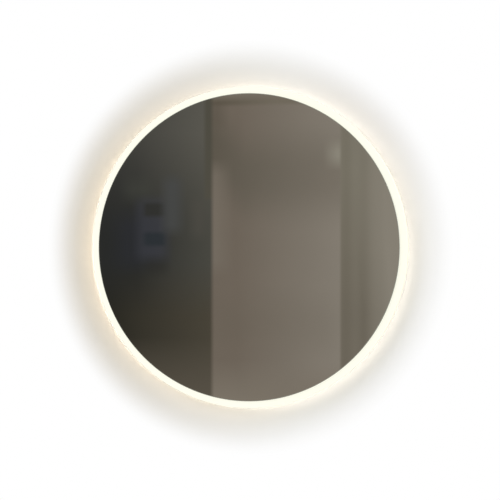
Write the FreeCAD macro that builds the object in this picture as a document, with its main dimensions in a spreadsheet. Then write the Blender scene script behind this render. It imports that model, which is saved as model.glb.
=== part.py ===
"""Round wall mirror with a lit ring, hung on a wall rail.

Every piece is drawn as the mirror is seen from the room: x to the right, y up from the middle of the disc,
z out from the wall. Each is then stood up, so that the front faces -Y and the origin lies on the wall,
halfway between the rail's two screws. All sizes are in millimetres.
"""
import FreeCAD, Part
import math
import os
import re

import Sketcher

os.makedirs("parts", exist_ok=True)
doc = FreeCAD.newDocument("lit_mirror")
Vector, Rotation, Placement = FreeCAD.Vector, FreeCAD.Rotation, FreeCAD.Placement

# ---------------------------------------------------------------- driving dimensions
SIZES = [
    # the disc and its depth
    ("ring_dia", 600, "outside of the lit ring"),
    ("mirror_depth", 40, "wall to the front of the glass"),
    ("wall_space", 11, "wall to the back pan"),
    ("lit_margin", 13.5, "lit ring that shows round the glass"),
    ("glass_thk", 5, "silvered disc"),
    ("glass_arris", 1, "polished edge of the disc"),
    ("tape_thk", 1, "bonding ring"),
    ("tape_width", 16, "bonding ring"),
    # the opal light chamber
    ("opal_width", 32, "lit ring, outside to inside"),
    ("opal_wall", 3, "opal walls"),
    ("opal_step", 1, "step in which the rear ring seats"),
    ("opal_bevel", 1.5, "outer front corner"),
    ("opal_rear_bevel", 0.8, "outer rear corner"),
    # the rolled channel
    ("channel_wall", 1.5, "walls of the rolled section"),
    ("channel_flange", 18, "inward flanges"),
    ("channel_ledge", 8.5, "outward ledges under the opal"),
    ("channel_gap", 0.5, "web to the opal's inner edge"),
    ("butt_slit", 0.8, "butt joint of the rolled section"),
    ("joint_arc", 9, "angle that the joint plate spans"),
    ("joint_thk", 1.5, "joint plate"),
    ("joint_height", 16, "joint plate"),
    ("joint_rivet_pitch", 8, "joint rivets along the depth"),
    ("joint_rivet_spread", 22, "joint rivets across the butt joint"),
    ("joint_rivet_dia", 3, "joint rivets"),
    # the light strip
    ("strip_width", 10, "light strip"),
    ("strip_thk", 0.4, "light strip"),
    ("chip_count", 100, "light sources"),
    ("chip_length", 3.5, "light source"),
    ("chip_width", 2.8, "light source"),
    ("chip_rise", 0.7, "light source"),
    ("plug_width", 16, "strip connector"),
    ("plug_rise", 4.4, "strip connector"),
    ("plug_height", 12, "strip connector"),
    # the back pan
    ("pan_thk", 1.2, "pressed sheet"),
    ("pan_lap", 4, "pan over the rear ring's rebate"),
    ("bead_mid", 330, "diameter of the pressed bead"),
    ("bead_width", 14, "pressed bead"),
    ("bead_rise", 2.5, "pressed bead"),
    ("pan_screw_count", 8, "pan screws"),
    ("pan_screw_length", 8, "pan screws"),
    ("vent_margin", 20, "vent slots to the channel's flange"),
    ("vent_length", 33, "vent slot"),
    ("vent_width", 4, "vent slot"),
    ("vent_pitch", 5, "angle from slot to slot"),
    ("vent_count", 5, "slots on each side"),
    # the wall rail and the hook
    ("rail_from_rim", 150, "wall screws below the top of the lit ring"),
    ("rail_length", 280, "wall rail"),
    ("rail_thk", 1.5, "wall rail"),
    ("rail_below", 14, "rail below its screws"),
    ("rail_shelf", 6, "top of the rail's shelf above its screws"),
    ("rail_trough", 2.5, "space between wall foot and lip"),
    ("rail_lip", 17, "top of the rail's lip above its screws"),
    ("rail_hole_pitch", 240, "wall screws"),
    ("rail_hole_dia", 5.5, "wall screws"),
    ("bend_inside", 0.5, "inner radius of the bent sheets"),
    ("hanger_length", 240, "hooked bar"),
    ("hanger_thk", 1.5, "hooked bar"),
    ("hook_gap", 0.3, "hook to the rail's foot"),
    ("hook_depth", 8.5, "hook behind the lip"),
    ("hanger_foot", 31, "height of the riveted foot"),
    ("hanger_rivet_rise", 22, "rivets above the hook's shelf"),
    ("hanger_rivet_inner", 80, "inner pair of rivets"),
    ("hanger_rivet_outer", 210, "outer pair of rivets"),
    # the wall buffers
    ("buffer_dia", 20, "rubber buffer"),
    ("buffer_spread", 220, "from buffer to buffer"),
    ("buffer_from_rim", 110, "buffers above the bottom of the lit ring"),
    ("buffer_bevel", 1.5, "rim of the buffer's end"),
    ("buffer_hole_dia", 8, "buffer's hole in the pan"),
    ("buffer_barb", 2.5, "buffer's barb inside the pan"),
    # the service opening with its cover and tray
    ("hatch_width", 58, "square opening"),
    ("hatch_rise", 70, "opening above the middle of the disc"),
    ("hatch_round", 4, "corners of the opening"),
    ("cover_lap", 11, "cover and tray flange round the opening"),
    ("cover_thk", 1.2, "cover"),
    ("cover_screw_out", 5, "cover screws out from the opening"),
    ("tray_wall", 2, "tray"),
    ("tray_depth", 14.8, "inside of the pan to the tray's floor"),
    ("tray_boss_dia", 8, "screw boss"),
    ("tray_boss_rise", 6, "screw boss"),
    ("cord_dia", 8, "bore of the supply grommet"),
    ("grommet_hole_dia", 16, "grommet's hole in the cover"),
    ("grommet_dia", 21, "grommet's flanges"),
    ("grommet_flange", 2, "grommet's flanges"),
    ("grommet_rise", 15, "grommet above the middle of the opening"),
    ("clamp_rise", 4, "cord clamp above the middle of the opening"),
    ("clamp_length", 30, "cord clamp"),
    ("clamp_width", 8, "cord clamp"),
    ("clamp_thk", 5, "cord clamp"),
    ("clamp_post", 4, "height of the clamp's posts"),
    ("clamp_screw_pitch", 20, "clamp screws"),
    # the terminals
    ("block_drop", 14, "terminal block below the middle of the opening"),
    ("block_length", 34, "terminal block"),
    ("block_width", 18, "terminal block"),
    ("block_height", 13.5, "terminal block"),
    ("pole_pitch", 10, "terminals"),
    ("pole_width", 4.4, "square terminal tube"),
    ("pole_bore", 2.4, "square terminal tube"),
    ("pole_length", 16, "terminal tube"),
    ("pole_screw_dia", 2.8, "terminal screw"),
    ("pole_screw_pitch", 9, "the two screws of a tube"),
    # the driver
    ("driver_drop", 60, "driver below the middle of the disc"),
    ("driver_length", 165, "driver"),
    ("driver_width", 42, "driver"),
    ("driver_height", 16, "driver's base"),
    ("driver_wall", 1.6, "driver's walls and lid"),
    ("driver_round", 3, "driver's corners"),
    ("driver_ear", 12, "length of the driver's feet"),
    ("ear_width", 18, "driver's feet"),
    ("ear_thk", 2.5, "driver's feet"),
    ("board_end_gap", 5.9, "circuit board to the case's end walls"),
    ("board_side_gap", 2.4, "circuit board to the case's side walls"),
    ("board_thk", 1.6, "circuit board"),
    ("board_post", 2.4, "height of the board's posts"),
    # leads and the earth point
    ("lead_dia", 1.8, "insulated lead"),
    ("lead_sides", 6, "sides of a lead's section"),
    ("lead_level", 20, "leads out from the wall"),
    ("lead_pitch", 2.3, "from lead to lead in a pair"),
    ("clip_gap", 1.5, "last lead clip to the channel's flange"),
    ("earth_x", 95, "earth point, right of the middle"),
    ("earth_y", 12, "earth point, above the middle"),
    ("earth_across", 8, "earth pillar across its flats"),
    ("earth_dia", 4, "earth stud"),
    ("tag_thk", 0.8, "earth tag"),
    ("tag_reach", 11, "earth stud to the open end of the tag's barrel"),
    ("barrel_length", 5.5, "barrel of the earth tag"),
    ("nut_rise", 3.2, "earth nut"),
    # small clearances
    ("seat_gap", 0.2, "loose fit round a seated piece"),
    ("skin_gap", 0.05, "close fit"),
    ("screw_dia", 2.9, "self-tapping screws"),
    ("screw_across", 7, "hexagon heads of the self-tapping screws"),
    ("screw_head_rise", 2.2, "self-tapping screws"),
    ("screw_tip", 1.5, "driver screws past the pan"),
    ("rivet_dia", 4, "hanger rivets"),
]

sheet = doc.addObject("Spreadsheet::Sheet", "sizes")
for row, (alias, value, meaning) in enumerate(SIZES, start=1):
    sheet.set(f"A{row}", meaning)
    sheet.set(f"B{row}", str(value))
    sheet.setAlias(f"B{row}", alias)
doc.recompute()

# levels and radii that several pieces share, as expressions of the sizes
PAN_FRONT = "(wall_space + pan_thk)"
GLASS_BACK = "(mirror_depth - glass_thk)"
TAPE_BACK = "(mirror_depth - glass_thk - tape_thk)"
RING_R = "(ring_dia / 2)"
OPAL_IN = "(ring_dia / 2 - opal_width)"
WEB_OUT = "(ring_dia / 2 - opal_width - channel_gap)"
WEB_IN = "(ring_dia / 2 - opal_width - channel_gap - channel_wall)"
FLANGE_IN = "(ring_dia / 2 - opal_width - channel_gap - channel_wall - channel_flange)"
LEDGE_OUT = "(ring_dia / 2 - opal_width - channel_gap + channel_ledge)"
REAR_LEDGE = "(wall_space + opal_wall)"
FRONT_LEDGE = "(mirror_depth - glass_thk - opal_wall)"
REBATE_R = "(ring_dia / 2 - opal_width + pan_lap)"
CHAMBER_MID = "((wall_space + mirror_depth - glass_thk) / 2)"
HATCH_HALF = "(hatch_width / 2)"
TRAY_FLOOR = "(wall_space + pan_thk + tray_depth)"
BLOCK_Y = "(hatch_rise - block_drop)"
CLAMP_Y = "(hatch_rise + clamp_rise)"
HOOK_SHELF = "(ring_dia / 2 - rail_from_rim + rail_lip)"
SCREW_HOLE_R = "(screw_dia / 2 + seat_gap)"
PILOT_R = "(screw_dia / 2 + skin_gap)"
BOARD_TOP = "(wall_space + pan_thk + driver_wall + board_post + board_thk)"
EAR_X = "(driver_length / 2 + driver_ear / 2)"
PLUG_FACE = "(ring_dia / 2 - opal_width - channel_gap + 2 * skin_gap)"
RAIL_RISE = "(ring_dia / 2 - rail_from_rim)"
BUFFER_DROP = "(ring_dia / 2 - buffer_from_rim)"
PAN_SCREW_R = "(ring_dia / 2 - opal_width - channel_gap - channel_wall - channel_flange / 2)"
COVER_WIDTH = "(hatch_width + 2 * cover_lap)"
COVER_PITCH = "(hatch_width + 2 * cover_screw_out)"
BOARD_LENGTH = "(driver_length - 2 * driver_wall - 2 * board_end_gap)"
BOARD_WIDTH = "(driver_width - 2 * driver_wall - 2 * board_side_gap)"
BUSHING_DROP = "(ring_dia / 2 - opal_width - channel_gap - channel_wall - driver_drop)"
LANE_R = f"(bead_mid / 4 + bead_width / 4 + {FLANGE_IN} / 2)"

nodes = {}


def cells(text):
    """An expression in which each size's alias points to its cell."""
    return re.sub(r"\b[a-z]+(_[a-z]+)+\b", lambda found: "sizes." + found.group(0), text)


def number(text):
    """The value of an expression of the sizes."""
    return float(sheet.evalExpression(cells(text)))


# ---------------------------------------------------------------- drawing
def new_body(name):
    """A body for one piece, registered as a node under its name."""
    body = doc.addObject("PartDesign::Body", name)
    body.Label = name
    nodes[name] = body
    return body


def master_body(name):
    """A body that is only the pattern for a group of equal pieces."""
    body = doc.addObject("PartDesign::Body", name)
    body.Label = name
    return body


def drawing_on(body, name, plane="XY_Plane", level="0"):
    """An empty sketch on one of the body's origin planes, moved along the plane's normal."""
    face = next(item for item in body.Origin.OriginFeatures if item.Role == plane)
    drawing = body.newObject("Sketcher::SketchObject", f"{body.Name}_{name}")
    drawing.AttachmentSupport = [(face, "")]
    drawing.MapMode = "FlatFace"
    drawing.setExpression("AttachmentOffset.Base.z", cells(level))
    return drawing


def bind(drawing, kind, where, expression):
    """One dimension of a sketch, tied to an expression."""
    row = drawing.addConstraint(Sketcher.Constraint(kind, *where, number(expression)))
    drawing.setExpression(f"Constraints[{row}]", cells(expression))


def pin_point(drawing, geometry, point, x, y):
    """Places one point of a sketch from the sketch's origin."""
    bind(drawing, "DistanceX", (-1, 1, geometry, point), x)
    bind(drawing, "DistanceY", (-1, 1, geometry, point), y)


def outline(drawing, points):
    """A closed outline of straight edges through points given as pairs of expressions."""
    spots = [Vector(number(x), number(y), 0) for x, y in points]
    first = drawing.GeometryCount
    for start, end in zip(spots, spots[1:] + spots[:1]):
        drawing.addGeometry(Part.LineSegment(start, end))
    for index, (x, y) in enumerate(points):
        before = first + (index - 1) % len(points)
        drawing.addConstraint(Sketcher.Constraint("Coincident", before, 2, first + index, 1))
        pin_point(drawing, first + index, 1, x, y)


def rectangle(drawing, x, y, width, height):
    """A rectangle round a middle point."""
    left, right = f"{x} - ({width}) / 2", f"{x} + ({width}) / 2"
    low, high = f"{y} - ({height}) / 2", f"{y} + ({height}) / 2"
    outline(drawing, [(left, low), (right, low), (right, high), (left, high)])


def circle(drawing, x, y, radius):
    """A circle round a middle point."""
    centre = Vector(number(x), number(y), 0)
    index = drawing.addGeometry(Part.Circle(centre, Vector(0, 0, 1), number(radius)))
    bind(drawing, "Radius", (index,), radius)
    pin_point(drawing, index, 3, x, y)


def slot(drawing, start, end, radius):
    """A slot with round ends between two middle points."""
    first, last = (Vector(number(x), number(y), 0) for x, y in (start, end))
    reach, along = number(radius), last - first
    along.normalize()
    side = Vector(-along.y, along.x, 0)

    def cap(middle, outward):
        return Part.Arc(middle + side * reach * outward, middle + along * reach * outward,
                        middle - side * reach * outward)

    far = drawing.addGeometry(cap(last, 1))
    edge_a = drawing.addGeometry(Part.LineSegment(last - side * reach, first - side * reach))
    near = drawing.addGeometry(cap(first, -1))
    edge_b = drawing.addGeometry(Part.LineSegment(first + side * reach, last + side * reach))
    # an arc counts its ends counter-clockwise, so each cap starts on edge_a's or edge_b's side
    for cap_index, cap_point, edge, edge_point in ((far, 1, edge_a, 1), (near, 2, edge_a, 2),
                                                   (near, 1, edge_b, 1), (far, 2, edge_b, 2)):
        tangent = Sketcher.Constraint("Tangent", cap_index, cap_point, edge, edge_point)
        drawing.addConstraint(tangent)
    drawing.addConstraint(Sketcher.Constraint("Equal", far, near))
    bind(drawing, "Radius", (far,), radius)
    pin_point(drawing, far, 3, *end)
    pin_point(drawing, near, 3, *start)


# ---------------------------------------------------------------- features
def pad(body, drawing, length, symmetric=False):
    """Adds the drawing's area over a length, along the sketch's normal or to both sides."""
    feature = body.newObject("PartDesign::Pad", f"{drawing.Name}_pad")
    feature.Profile = drawing
    feature.SideType = "Symmetric" if symmetric else "One side"
    feature.setExpression("Length", cells(length))
    doc.recompute()
    return feature


def cut(body, drawing, length=None):
    """Removes the drawing's area along its normal, or right through the piece where no length is given."""
    before = body.Shape.Volume
    feature = body.newObject("PartDesign::Pocket", f"{drawing.Name}_cut")
    feature.Profile = drawing
    if length is None:
        feature.Type = "ThroughAll"
        feature.SideType = "Symmetric"
    else:
        feature.Reversed = True
        feature.setExpression("Length", cells(length))
    doc.recompute()
    if not body.Shape.Volume < before:
        raise RuntimeError(f"{feature.Name} removes nothing")
    return feature


def spin(body, drawing, angle=None, axis="V_Axis"):
    """Turns the drawing's area about one of its axes, fully or through a middle angle."""
    feature = body.newObject("PartDesign::Revolution", f"{drawing.Name}_turn")
    feature.Profile = drawing
    feature.ReferenceAxis = (drawing, [axis])
    if angle is None:
        feature.Angle = 360
    else:
        feature.Midplane = True
        feature.setExpression("Angle", cells(angle))
    doc.recompute()
    return feature


def round_the_middle(body, feature, count, angle=360):
    """Repeats a feature round the disc's axis and makes the pattern the body's last feature."""
    pattern = body.newObject("PartDesign::PolarPattern", f"{feature.Name}_ring")
    pattern.Originals = [feature]
    axis = next(item for item in body.Origin.OriginFeatures if item.Role == "Z_Axis")
    pattern.Axis = (axis, [""])
    if isinstance(angle, str):
        pattern.setExpression("Angle", cells(angle))
    else:
        pattern.Angle = angle
    if isinstance(count, str):
        pattern.setExpression("Occurrences", cells(count))
    else:
        pattern.Occurrences = count
    body.Tip = pattern
    doc.recompute()
    return pattern


def dress(body, kind, chosen, size):
    """A fillet or chamfer on the edges that the test picks."""
    base = body.Tip
    names = [f"Edge{index}" for index, edge in enumerate(base.Shape.Edges, 1) if chosen(edge)]
    if not names:
        raise RuntimeError(f"no edge of {body.Name} is picked")
    feature = body.newObject(f"PartDesign::{kind}", f"{body.Name}_{kind.lower()}_{len(body.Group)}")
    feature.Base = (base, names)
    feature.setExpression("Size" if kind == "Chamfer" else "Radius", cells(size))
    doc.recompute()
    return feature


def near(value, expression):
    return abs(value - number(expression)) < 1e-4


def hoop(radius, level):
    """Picks the circular edge of a radius at a level."""
    def chosen(edge):
        curve = edge.Curve
        return isinstance(curve, Part.Circle) and near(curve.Radius, radius) and near(curve.Center.z, level)
    return chosen


def upright(edge):
    """Picks straight edges that run out from the wall."""
    start, end = edge.Vertexes[0].Point, edge.Vertexes[-1].Point
    return isinstance(edge.Curve, Part.Line) and abs(start.x - end.x) + abs(start.y - end.y) < 1e-6


def level_edge(*corners):
    """Picks straight edges along x that pass through one of the (y, z) corners."""
    def chosen(edge):
        start, end = edge.Vertexes[0].Point, edge.Vertexes[-1].Point
        if abs(start.y - end.y) + abs(start.z - end.z) > 1e-6:
            return False
        return any(near(start.y, y) and near(start.z, z) for y, z in corners)
    return chosen


def turned(name, points, body_maker=new_body):
    """A piece turned about its own z axis from an outline of (radius, level) pairs."""
    body = body_maker(name)
    drawing = drawing_on(body, "section", "XZ_Plane")
    outline(drawing, points)
    spin(body, drawing)
    return body


def group(name, master, places):
    """Equal pieces at several places, as one node."""
    row_of_pieces = doc.addObject("App::Link", f"{name}_places")
    row_of_pieces.LinkedObject = master
    row_of_pieces.ElementCount = len(places)
    row_of_pieces.ShowElement = False
    row_of_pieces.PlacementList = places
    whole = doc.addObject("Part::Compound", name)
    whole.Label = name
    whole.Links = [row_of_pieces]
    nodes[name] = whole
    return whole


def at(x, y, z, rotation=None):
    """A place from three expressions."""
    return Placement(Vector(number(x), number(y), number(z)), rotation or Rotation())


def hexagon(drawing, x, y, across):
    """A hexagon round a middle point, given its width across the flats."""
    corner = f"({across}) / sqrt(3)"
    outline(drawing, [(f"{x} + {corner} * cos({60 * index})", f"{y} + {corner} * sin({60 * index})")
                      for index in range(6)])


def screw(name, across, length):
    """A screw whose hexagon head stands below z = 0 and whose shank points to +z."""
    body = master_body(name)
    head = drawing_on(body, "head", level="-screw_head_rise")
    hexagon(head, "0", "0", across)
    pad(body, head, "screw_head_rise")
    shank = drawing_on(body, "shank")
    circle(shank, "0", "0", "screw_dia / 2")
    pad(body, shank, length)
    return body


# ---------------------------------------------------------------- glass, bond and opal rings
def make_mirror_glass():
    body = new_body("mirror_glass")
    drawing = drawing_on(body, "disc", level=GLASS_BACK)
    circle(drawing, "0", "0", f"{RING_R} - lit_margin")
    pad(body, drawing, "glass_thk")
    dress(body, "Chamfer", lambda edge: isinstance(edge.Curve, Part.Circle), "glass_arris")


def make_mirror_tape():
    body = new_body("mirror_tape")
    drawing = drawing_on(body, "ring", level=TAPE_BACK)
    circle(drawing, "0", "0", f"{FLANGE_IN}")
    circle(drawing, "0", "0", f"{FLANGE_IN} + tape_width")
    pad(body, drawing, "tape_thk")


def make_opal_front_ring():
    """Front wall behind the glass and outer wall down to the back, stepped where the rear ring seats."""
    inside, step_r = f"{RING_R} - opal_wall", f"{RING_R} - opal_wall + opal_step"
    body = turned("opal_front_ring", [
        (OPAL_IN, GLASS_BACK), (OPAL_IN, FRONT_LEDGE), (inside, FRONT_LEDGE), (inside, REAR_LEDGE),
        (step_r, REAR_LEDGE), (step_r, "wall_space"), (RING_R, "wall_space"), (RING_R, GLASS_BACK)])
    dress(body, "Chamfer", hoop(RING_R, GLASS_BACK), "opal_bevel")
    dress(body, "Chamfer", hoop(RING_R, "wall_space"), "opal_rear_bevel")


def make_opal_rear_ring():
    """Flat ring that closes the light chamber; its inner rebate lies under the pan's rim."""
    outside = f"{RING_R} - opal_wall + opal_step - seat_gap"
    turned("opal_rear_ring", [
        (OPAL_IN, PAN_FRONT), (REBATE_R, PAN_FRONT), (REBATE_R, "wall_space"), (outside, "wall_space"),
        (outside, REAR_LEDGE), (OPAL_IN, REAR_LEDGE)])


# ---------------------------------------------------------------- channel, strip and light sources
def make_led_channel():
    """Rolled section: web, two inward flanges and two outward ledges that carry the opal rings."""
    rear_top, front_low = f"{REAR_LEDGE} + channel_wall", f"{FRONT_LEDGE} - channel_wall"
    body = turned("led_channel", [
        (FLANGE_IN, PAN_FRONT), (WEB_OUT, PAN_FRONT), (WEB_OUT, REAR_LEDGE), (LEDGE_OUT, REAR_LEDGE),
        (LEDGE_OUT, rear_top), (WEB_OUT, rear_top), (WEB_OUT, front_low), (LEDGE_OUT, front_low),
        (LEDGE_OUT, FRONT_LEDGE), (WEB_OUT, FRONT_LEDGE), (WEB_OUT, TAPE_BACK), (FLANGE_IN, TAPE_BACK),
        (FLANGE_IN, f"{TAPE_BACK} - channel_wall"), (WEB_IN, f"{TAPE_BACK} - channel_wall"),
        (WEB_IN, f"{PAN_FRONT} + channel_wall"), (FLANGE_IN, f"{PAN_FRONT} + channel_wall")])
    slit = drawing_on(body, "slit")
    rectangle(slit, "0", f"({FLANGE_IN} + {LEDGE_OUT}) / 2", "butt_slit",
              f"({LEDGE_OUT} - {FLANGE_IN}) * 1.2")
    cut(body, slit)
    lead_hole = drawing_on(body, "lead_hole", "XZ_Plane", f"{WEB_IN} - channel_wall")
    circle(lead_hole, "0", "lead_level", "lead_pitch + lead_dia * 2 / 3")
    cut(body, lead_hole, "channel_wall * 3")
    joint_holes = drawing_on(body, "joint_holes", "XZ_Plane", f"-({LEDGE_OUT})")
    for x, z in joint_rivet_spots():
        circle(joint_holes, x, z, "joint_rivet_dia / 2 + skin_gap")
    cut(body, joint_holes, f"{LEDGE_OUT} - {FLANGE_IN}")
    pilot = drawing_on(body, "pilot")
    circle(pilot, f"{PAN_SCREW_R} * cos(180 / pan_screw_count)",
           f"{PAN_SCREW_R} * sin(180 / pan_screw_count)", PILOT_R)
    round_the_middle(body, cut(body, pilot, f"{PAN_FRONT} + 2 * channel_wall"), "pan_screw_count")


def joint_rivet_spots():
    """The joint rivets as (x, level) pairs, two on each side of the butt joint."""
    return [(f"{side}joint_rivet_spread / 2", f"{CHAMBER_MID} {way} joint_rivet_pitch / 2")
            for side in ("-", "") for way in ("-", "+")]


def make_joint_plate():
    """Curved plate inside the web, behind the butt joint, with its four rivets, flush under the strip."""
    body = new_body("channel_joint_plate")
    drawing = drawing_on(body, "section", "YZ_Plane")
    outer, inner = f"{WEB_IN} - skin_gap", f"{WEB_IN} - skin_gap - joint_thk"
    low, high = f"{CHAMBER_MID} - joint_height / 2", f"{CHAMBER_MID} + joint_height / 2"
    outline(drawing, [(inner, low), (outer, low), (outer, high), (inner, high)])
    spin(body, drawing, "joint_arc")
    holes = drawing_on(body, "holes", "XZ_Plane", f"-({LEDGE_OUT})")
    for x, z in joint_rivet_spots():
        circle(holes, x, z, "joint_rivet_dia / 2 + skin_gap")
    cut(body, holes, f"{LEDGE_OUT} - {FLANGE_IN}")

    # the rivets lie square to the butt joint, where web and plate are a little aslant
    half = "joint_rivet_spread / 2 + joint_rivet_dia"
    head_y = f"sqrt(({inner}) ^ 2 - ({half}) ^ 2)"
    tail_y = f"sqrt(({WEB_OUT}) ^ 2 - ({half}) ^ 2)"
    rivet = turned("joint_rivet", [
        ("0", "-joint_rivet_dia * 0.3"), ("joint_rivet_dia", "-joint_rivet_dia * 0.3"),
        ("joint_rivet_dia", "0"), ("joint_rivet_dia / 2", "0"),
        ("joint_rivet_dia / 2", f"{tail_y} - {head_y}"), ("0", f"{tail_y} - {head_y}")], master_body)
    outward = Rotation(Vector(1, 0, 0), -90)
    group("joint_rivets", rivet, [at(x, head_y, z, outward) for x, z in joint_rivet_spots()])


def make_light_strip():
    """Strip round the web; its two ends meet at the connector at the bottom."""
    body = new_body("led_strip")
    drawing = drawing_on(body, "section", "YZ_Plane")
    inner, outer = f"{WEB_OUT} + skin_gap", f"{WEB_OUT} + skin_gap + strip_thk"
    low, high = f"{CHAMBER_MID} - strip_width / 2", f"{CHAMBER_MID} + strip_width / 2"
    outline(drawing, [(inner, low), (outer, low), (outer, high), (inner, high)])
    spin(body, drawing, f"360 deg - 2 * asin((plug_width / 2 + 2 * seat_gap) / {WEB_OUT})")
    plug_angle = 2 * math.degrees(math.asin(number(f"(plug_width / 2 + 2 * seat_gap) / {WEB_OUT}")))

    chip = master_body("led_chip")
    plan = drawing_on(chip, "plan", level="-chip_width / 2")
    rectangle(plan, "0", "chip_rise / 2", "chip_length", "chip_rise")
    pad(chip, plan, "chip_width")
    count = int(number("chip_count"))
    reach = number(f"{WEB_OUT} + 2 * skin_gap + strip_thk")
    middle = number(CHAMBER_MID)
    places = []
    for index in range(count):
        # the light sources share the arc from one side of the connector at the bottom to the other
        angle = (360 - plug_angle) * (index + 0.5) / count + plug_angle / 2 - 90
        bearing = math.radians(angle)
        spot = Vector(reach * math.cos(bearing), reach * math.sin(bearing), middle)
        places.append(Placement(spot, Rotation(Vector(0, 0, 1), angle - 90)))
    group("led_chips", chip, places)


def make_strip_connector():
    """Clip-on connector over the channel's lead hole; both strip ends run up to it."""
    body = new_body("strip_connector")
    plan = drawing_on(body, "plan", level=f"{CHAMBER_MID} - plug_height / 2")
    rectangle(plan, "0", f"-{PLUG_FACE} - plug_rise / 2", "plug_width", "plug_rise")
    pad(body, plan, "plug_height")
    middle_y = -number(f"{PLUG_FACE} + plug_rise / 2")
    dress(body, "Chamfer", lambda edge: max(corner.Y for corner in edge.Vertexes) < middle_y, "plug_rise / 5")

    bushing = new_body("lead_bushing")
    section = drawing_on(bushing, "section", "YZ_Plane")
    hole_r, bore_r = "lead_pitch + lead_dia * 2 / 3 - skin_gap", "lead_pitch / 2 + lead_dia / 2 + seat_gap"
    head, neck = f"-({WEB_IN} - 2 * skin_gap)", f"-({WEB_OUT} - skin_gap)"
    crown = f"-({WEB_IN} - channel_wall)"
    outline(section, [
        (crown, f"lead_level + {bore_r}"), (crown, f"lead_level + {hole_r} + channel_wall"),
        (head, f"lead_level + {hole_r} + channel_wall"), (head, f"lead_level + {hole_r}"),
        (neck, f"lead_level + {hole_r}"), (neck, f"lead_level + {bore_r}")])
    line = section.addGeometry(Part.LineSegment(Vector(number(crown), number("lead_level"), 0),
                                                Vector(number(neck), number("lead_level"), 0)), True)
    pin_point(section, line, 1, crown, "lead_level")
    pin_point(section, line, 2, neck, "lead_level")
    spin(bushing, section, axis="Axis0")


# ---------------------------------------------------------------- back pan
def make_back_pan():
    """Pressed disc with a stiffening bead, two fans of vent slots and the service opening."""
    low_r, high_r = "(bead_mid / 2 - bead_width / 2)", "(bead_mid / 2 + bead_width / 2)"
    # sides at 45 degrees, so the sheet's two faces are this far apart along the radius
    shift = "pan_thk * tan(22.5)"
    crest_back, crest_front = "wall_space + bead_rise", f"{PAN_FRONT} + bead_rise"
    rim = f"{REBATE_R} - seat_gap"
    body = turned("back_pan", [
        ("0", "wall_space"), (low_r, "wall_space"), (f"{low_r} + bead_rise", crest_back),
        (f"{high_r} - bead_rise", crest_back), (high_r, "wall_space"), (rim, "wall_space"), (rim, PAN_FRONT),
        (f"{high_r} + {shift}", PAN_FRONT), (f"{high_r} - bead_rise + {shift}", crest_front),
        (f"{low_r} + bead_rise - {shift}", crest_front), (f"{low_r} - {shift}", PAN_FRONT), ("0", PAN_FRONT)])

    hatch = drawing_on(body, "hatch")
    rectangle(hatch, "0", "hatch_rise", "hatch_width", "hatch_width")
    cut(body, hatch)
    dress(body, "Fillet", lambda edge: upright(edge) and near(abs(edge.Vertexes[0].X), HATCH_HALF),
          "hatch_round")

    holes = drawing_on(body, "holes")
    for side_x in ("-", ""):
        for side_y in ("-", "+"):
            circle(holes, f"{side_x}{COVER_PITCH} / 2", f"hatch_rise {side_y} {COVER_PITCH} / 2",
                   SCREW_HOLE_R)
        circle(holes, f"{side_x}{EAR_X}", "-driver_drop", PILOT_R)
        circle(holes, f"{side_x}buffer_spread / 2", f"-{BUFFER_DROP}", "buffer_hole_dia / 2")
        for pair in ("hanger_rivet_inner", "hanger_rivet_outer"):
            circle(holes, f"{side_x}{pair} / 2", f"{HOOK_SHELF} + hanger_rivet_rise", "rivet_dia / 2")
    circle(holes, "earth_x", "earth_y", "earth_dia / 2")
    cut(body, holes)

    rim_hole = drawing_on(body, "rim_hole")
    circle(rim_hole, f"{PAN_SCREW_R} * cos(180 / pan_screw_count)",
           f"{PAN_SCREW_R} * sin(180 / pan_screw_count)", SCREW_HOLE_R)
    round_the_middle(body, cut(body, rim_hole), "pan_screw_count")

    # each fan starts half its spread below the horizontal
    spread = "((vent_count - 1) * vent_pitch)"
    outer, inner = f"({FLANGE_IN} - vent_margin)", f"({FLANGE_IN} - vent_margin - vent_length)"
    for name, middle in (("right_vent", "0"), ("left_vent", "180")):
        start = f"({middle} - {spread} / 2)"
        vent = drawing_on(body, name)
        slot(vent, (f"{inner} * cos({start})", f"{inner} * sin({start})"),
             (f"{outer} * cos({start})", f"{outer} * sin({start})"), "vent_width / 2")
        round_the_middle(body, cut(body, vent), "vent_count", spread)

    pan_screw = screw("pan_screw", "screw_across", "pan_screw_length")
    count = int(number("pan_screw_count"))
    radius = number(PAN_SCREW_R)
    places = []
    for index in range(count):
        bearing = math.radians(360 * (index + 0.5) / count)
        places.append(Placement(Vector(radius * math.cos(bearing), radius * math.sin(bearing),
                                       number("wall_space")), Rotation()))
    group("pan_screws", pan_screw, places)


# ---------------------------------------------------------------- wall rail, hook and buffers
def make_wall_rail():
    """Bent strip: foot on the wall, shelf, and a lip that stands up in front of a narrow trough."""
    body = new_body("wall_rail")
    section = drawing_on(body, "section", "YZ_Plane")
    foot_end, shelf = f"{RAIL_RISE} - rail_below", f"{RAIL_RISE} + rail_shelf"
    shelf_under, lip_top = f"{RAIL_RISE} + rail_shelf - rail_thk", HOOK_SHELF
    lip_back, lip_front = "rail_thk + rail_trough", "2 * rail_thk + rail_trough"
    outline(section, [(foot_end, "0"), (shelf, "0"), (shelf, lip_back), (lip_top, lip_back),
                      (lip_top, lip_front), (shelf_under, lip_front), (shelf_under, "rail_thk"),
                      (foot_end, "rail_thk")])
    pad(body, section, "rail_length", symmetric=True)
    dress(body, "Fillet", level_edge((shelf, "0"), (shelf_under, lip_front)), "bend_inside + rail_thk")
    dress(body, "Fillet", level_edge((shelf, lip_back), (shelf_under, "rail_thk")), "bend_inside")
    holes = drawing_on(body, "holes")
    for side in ("-", ""):
        circle(holes, f"{side}rail_hole_pitch / 2", RAIL_RISE, "rail_hole_dia / 2")
    cut(body, holes)


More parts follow.
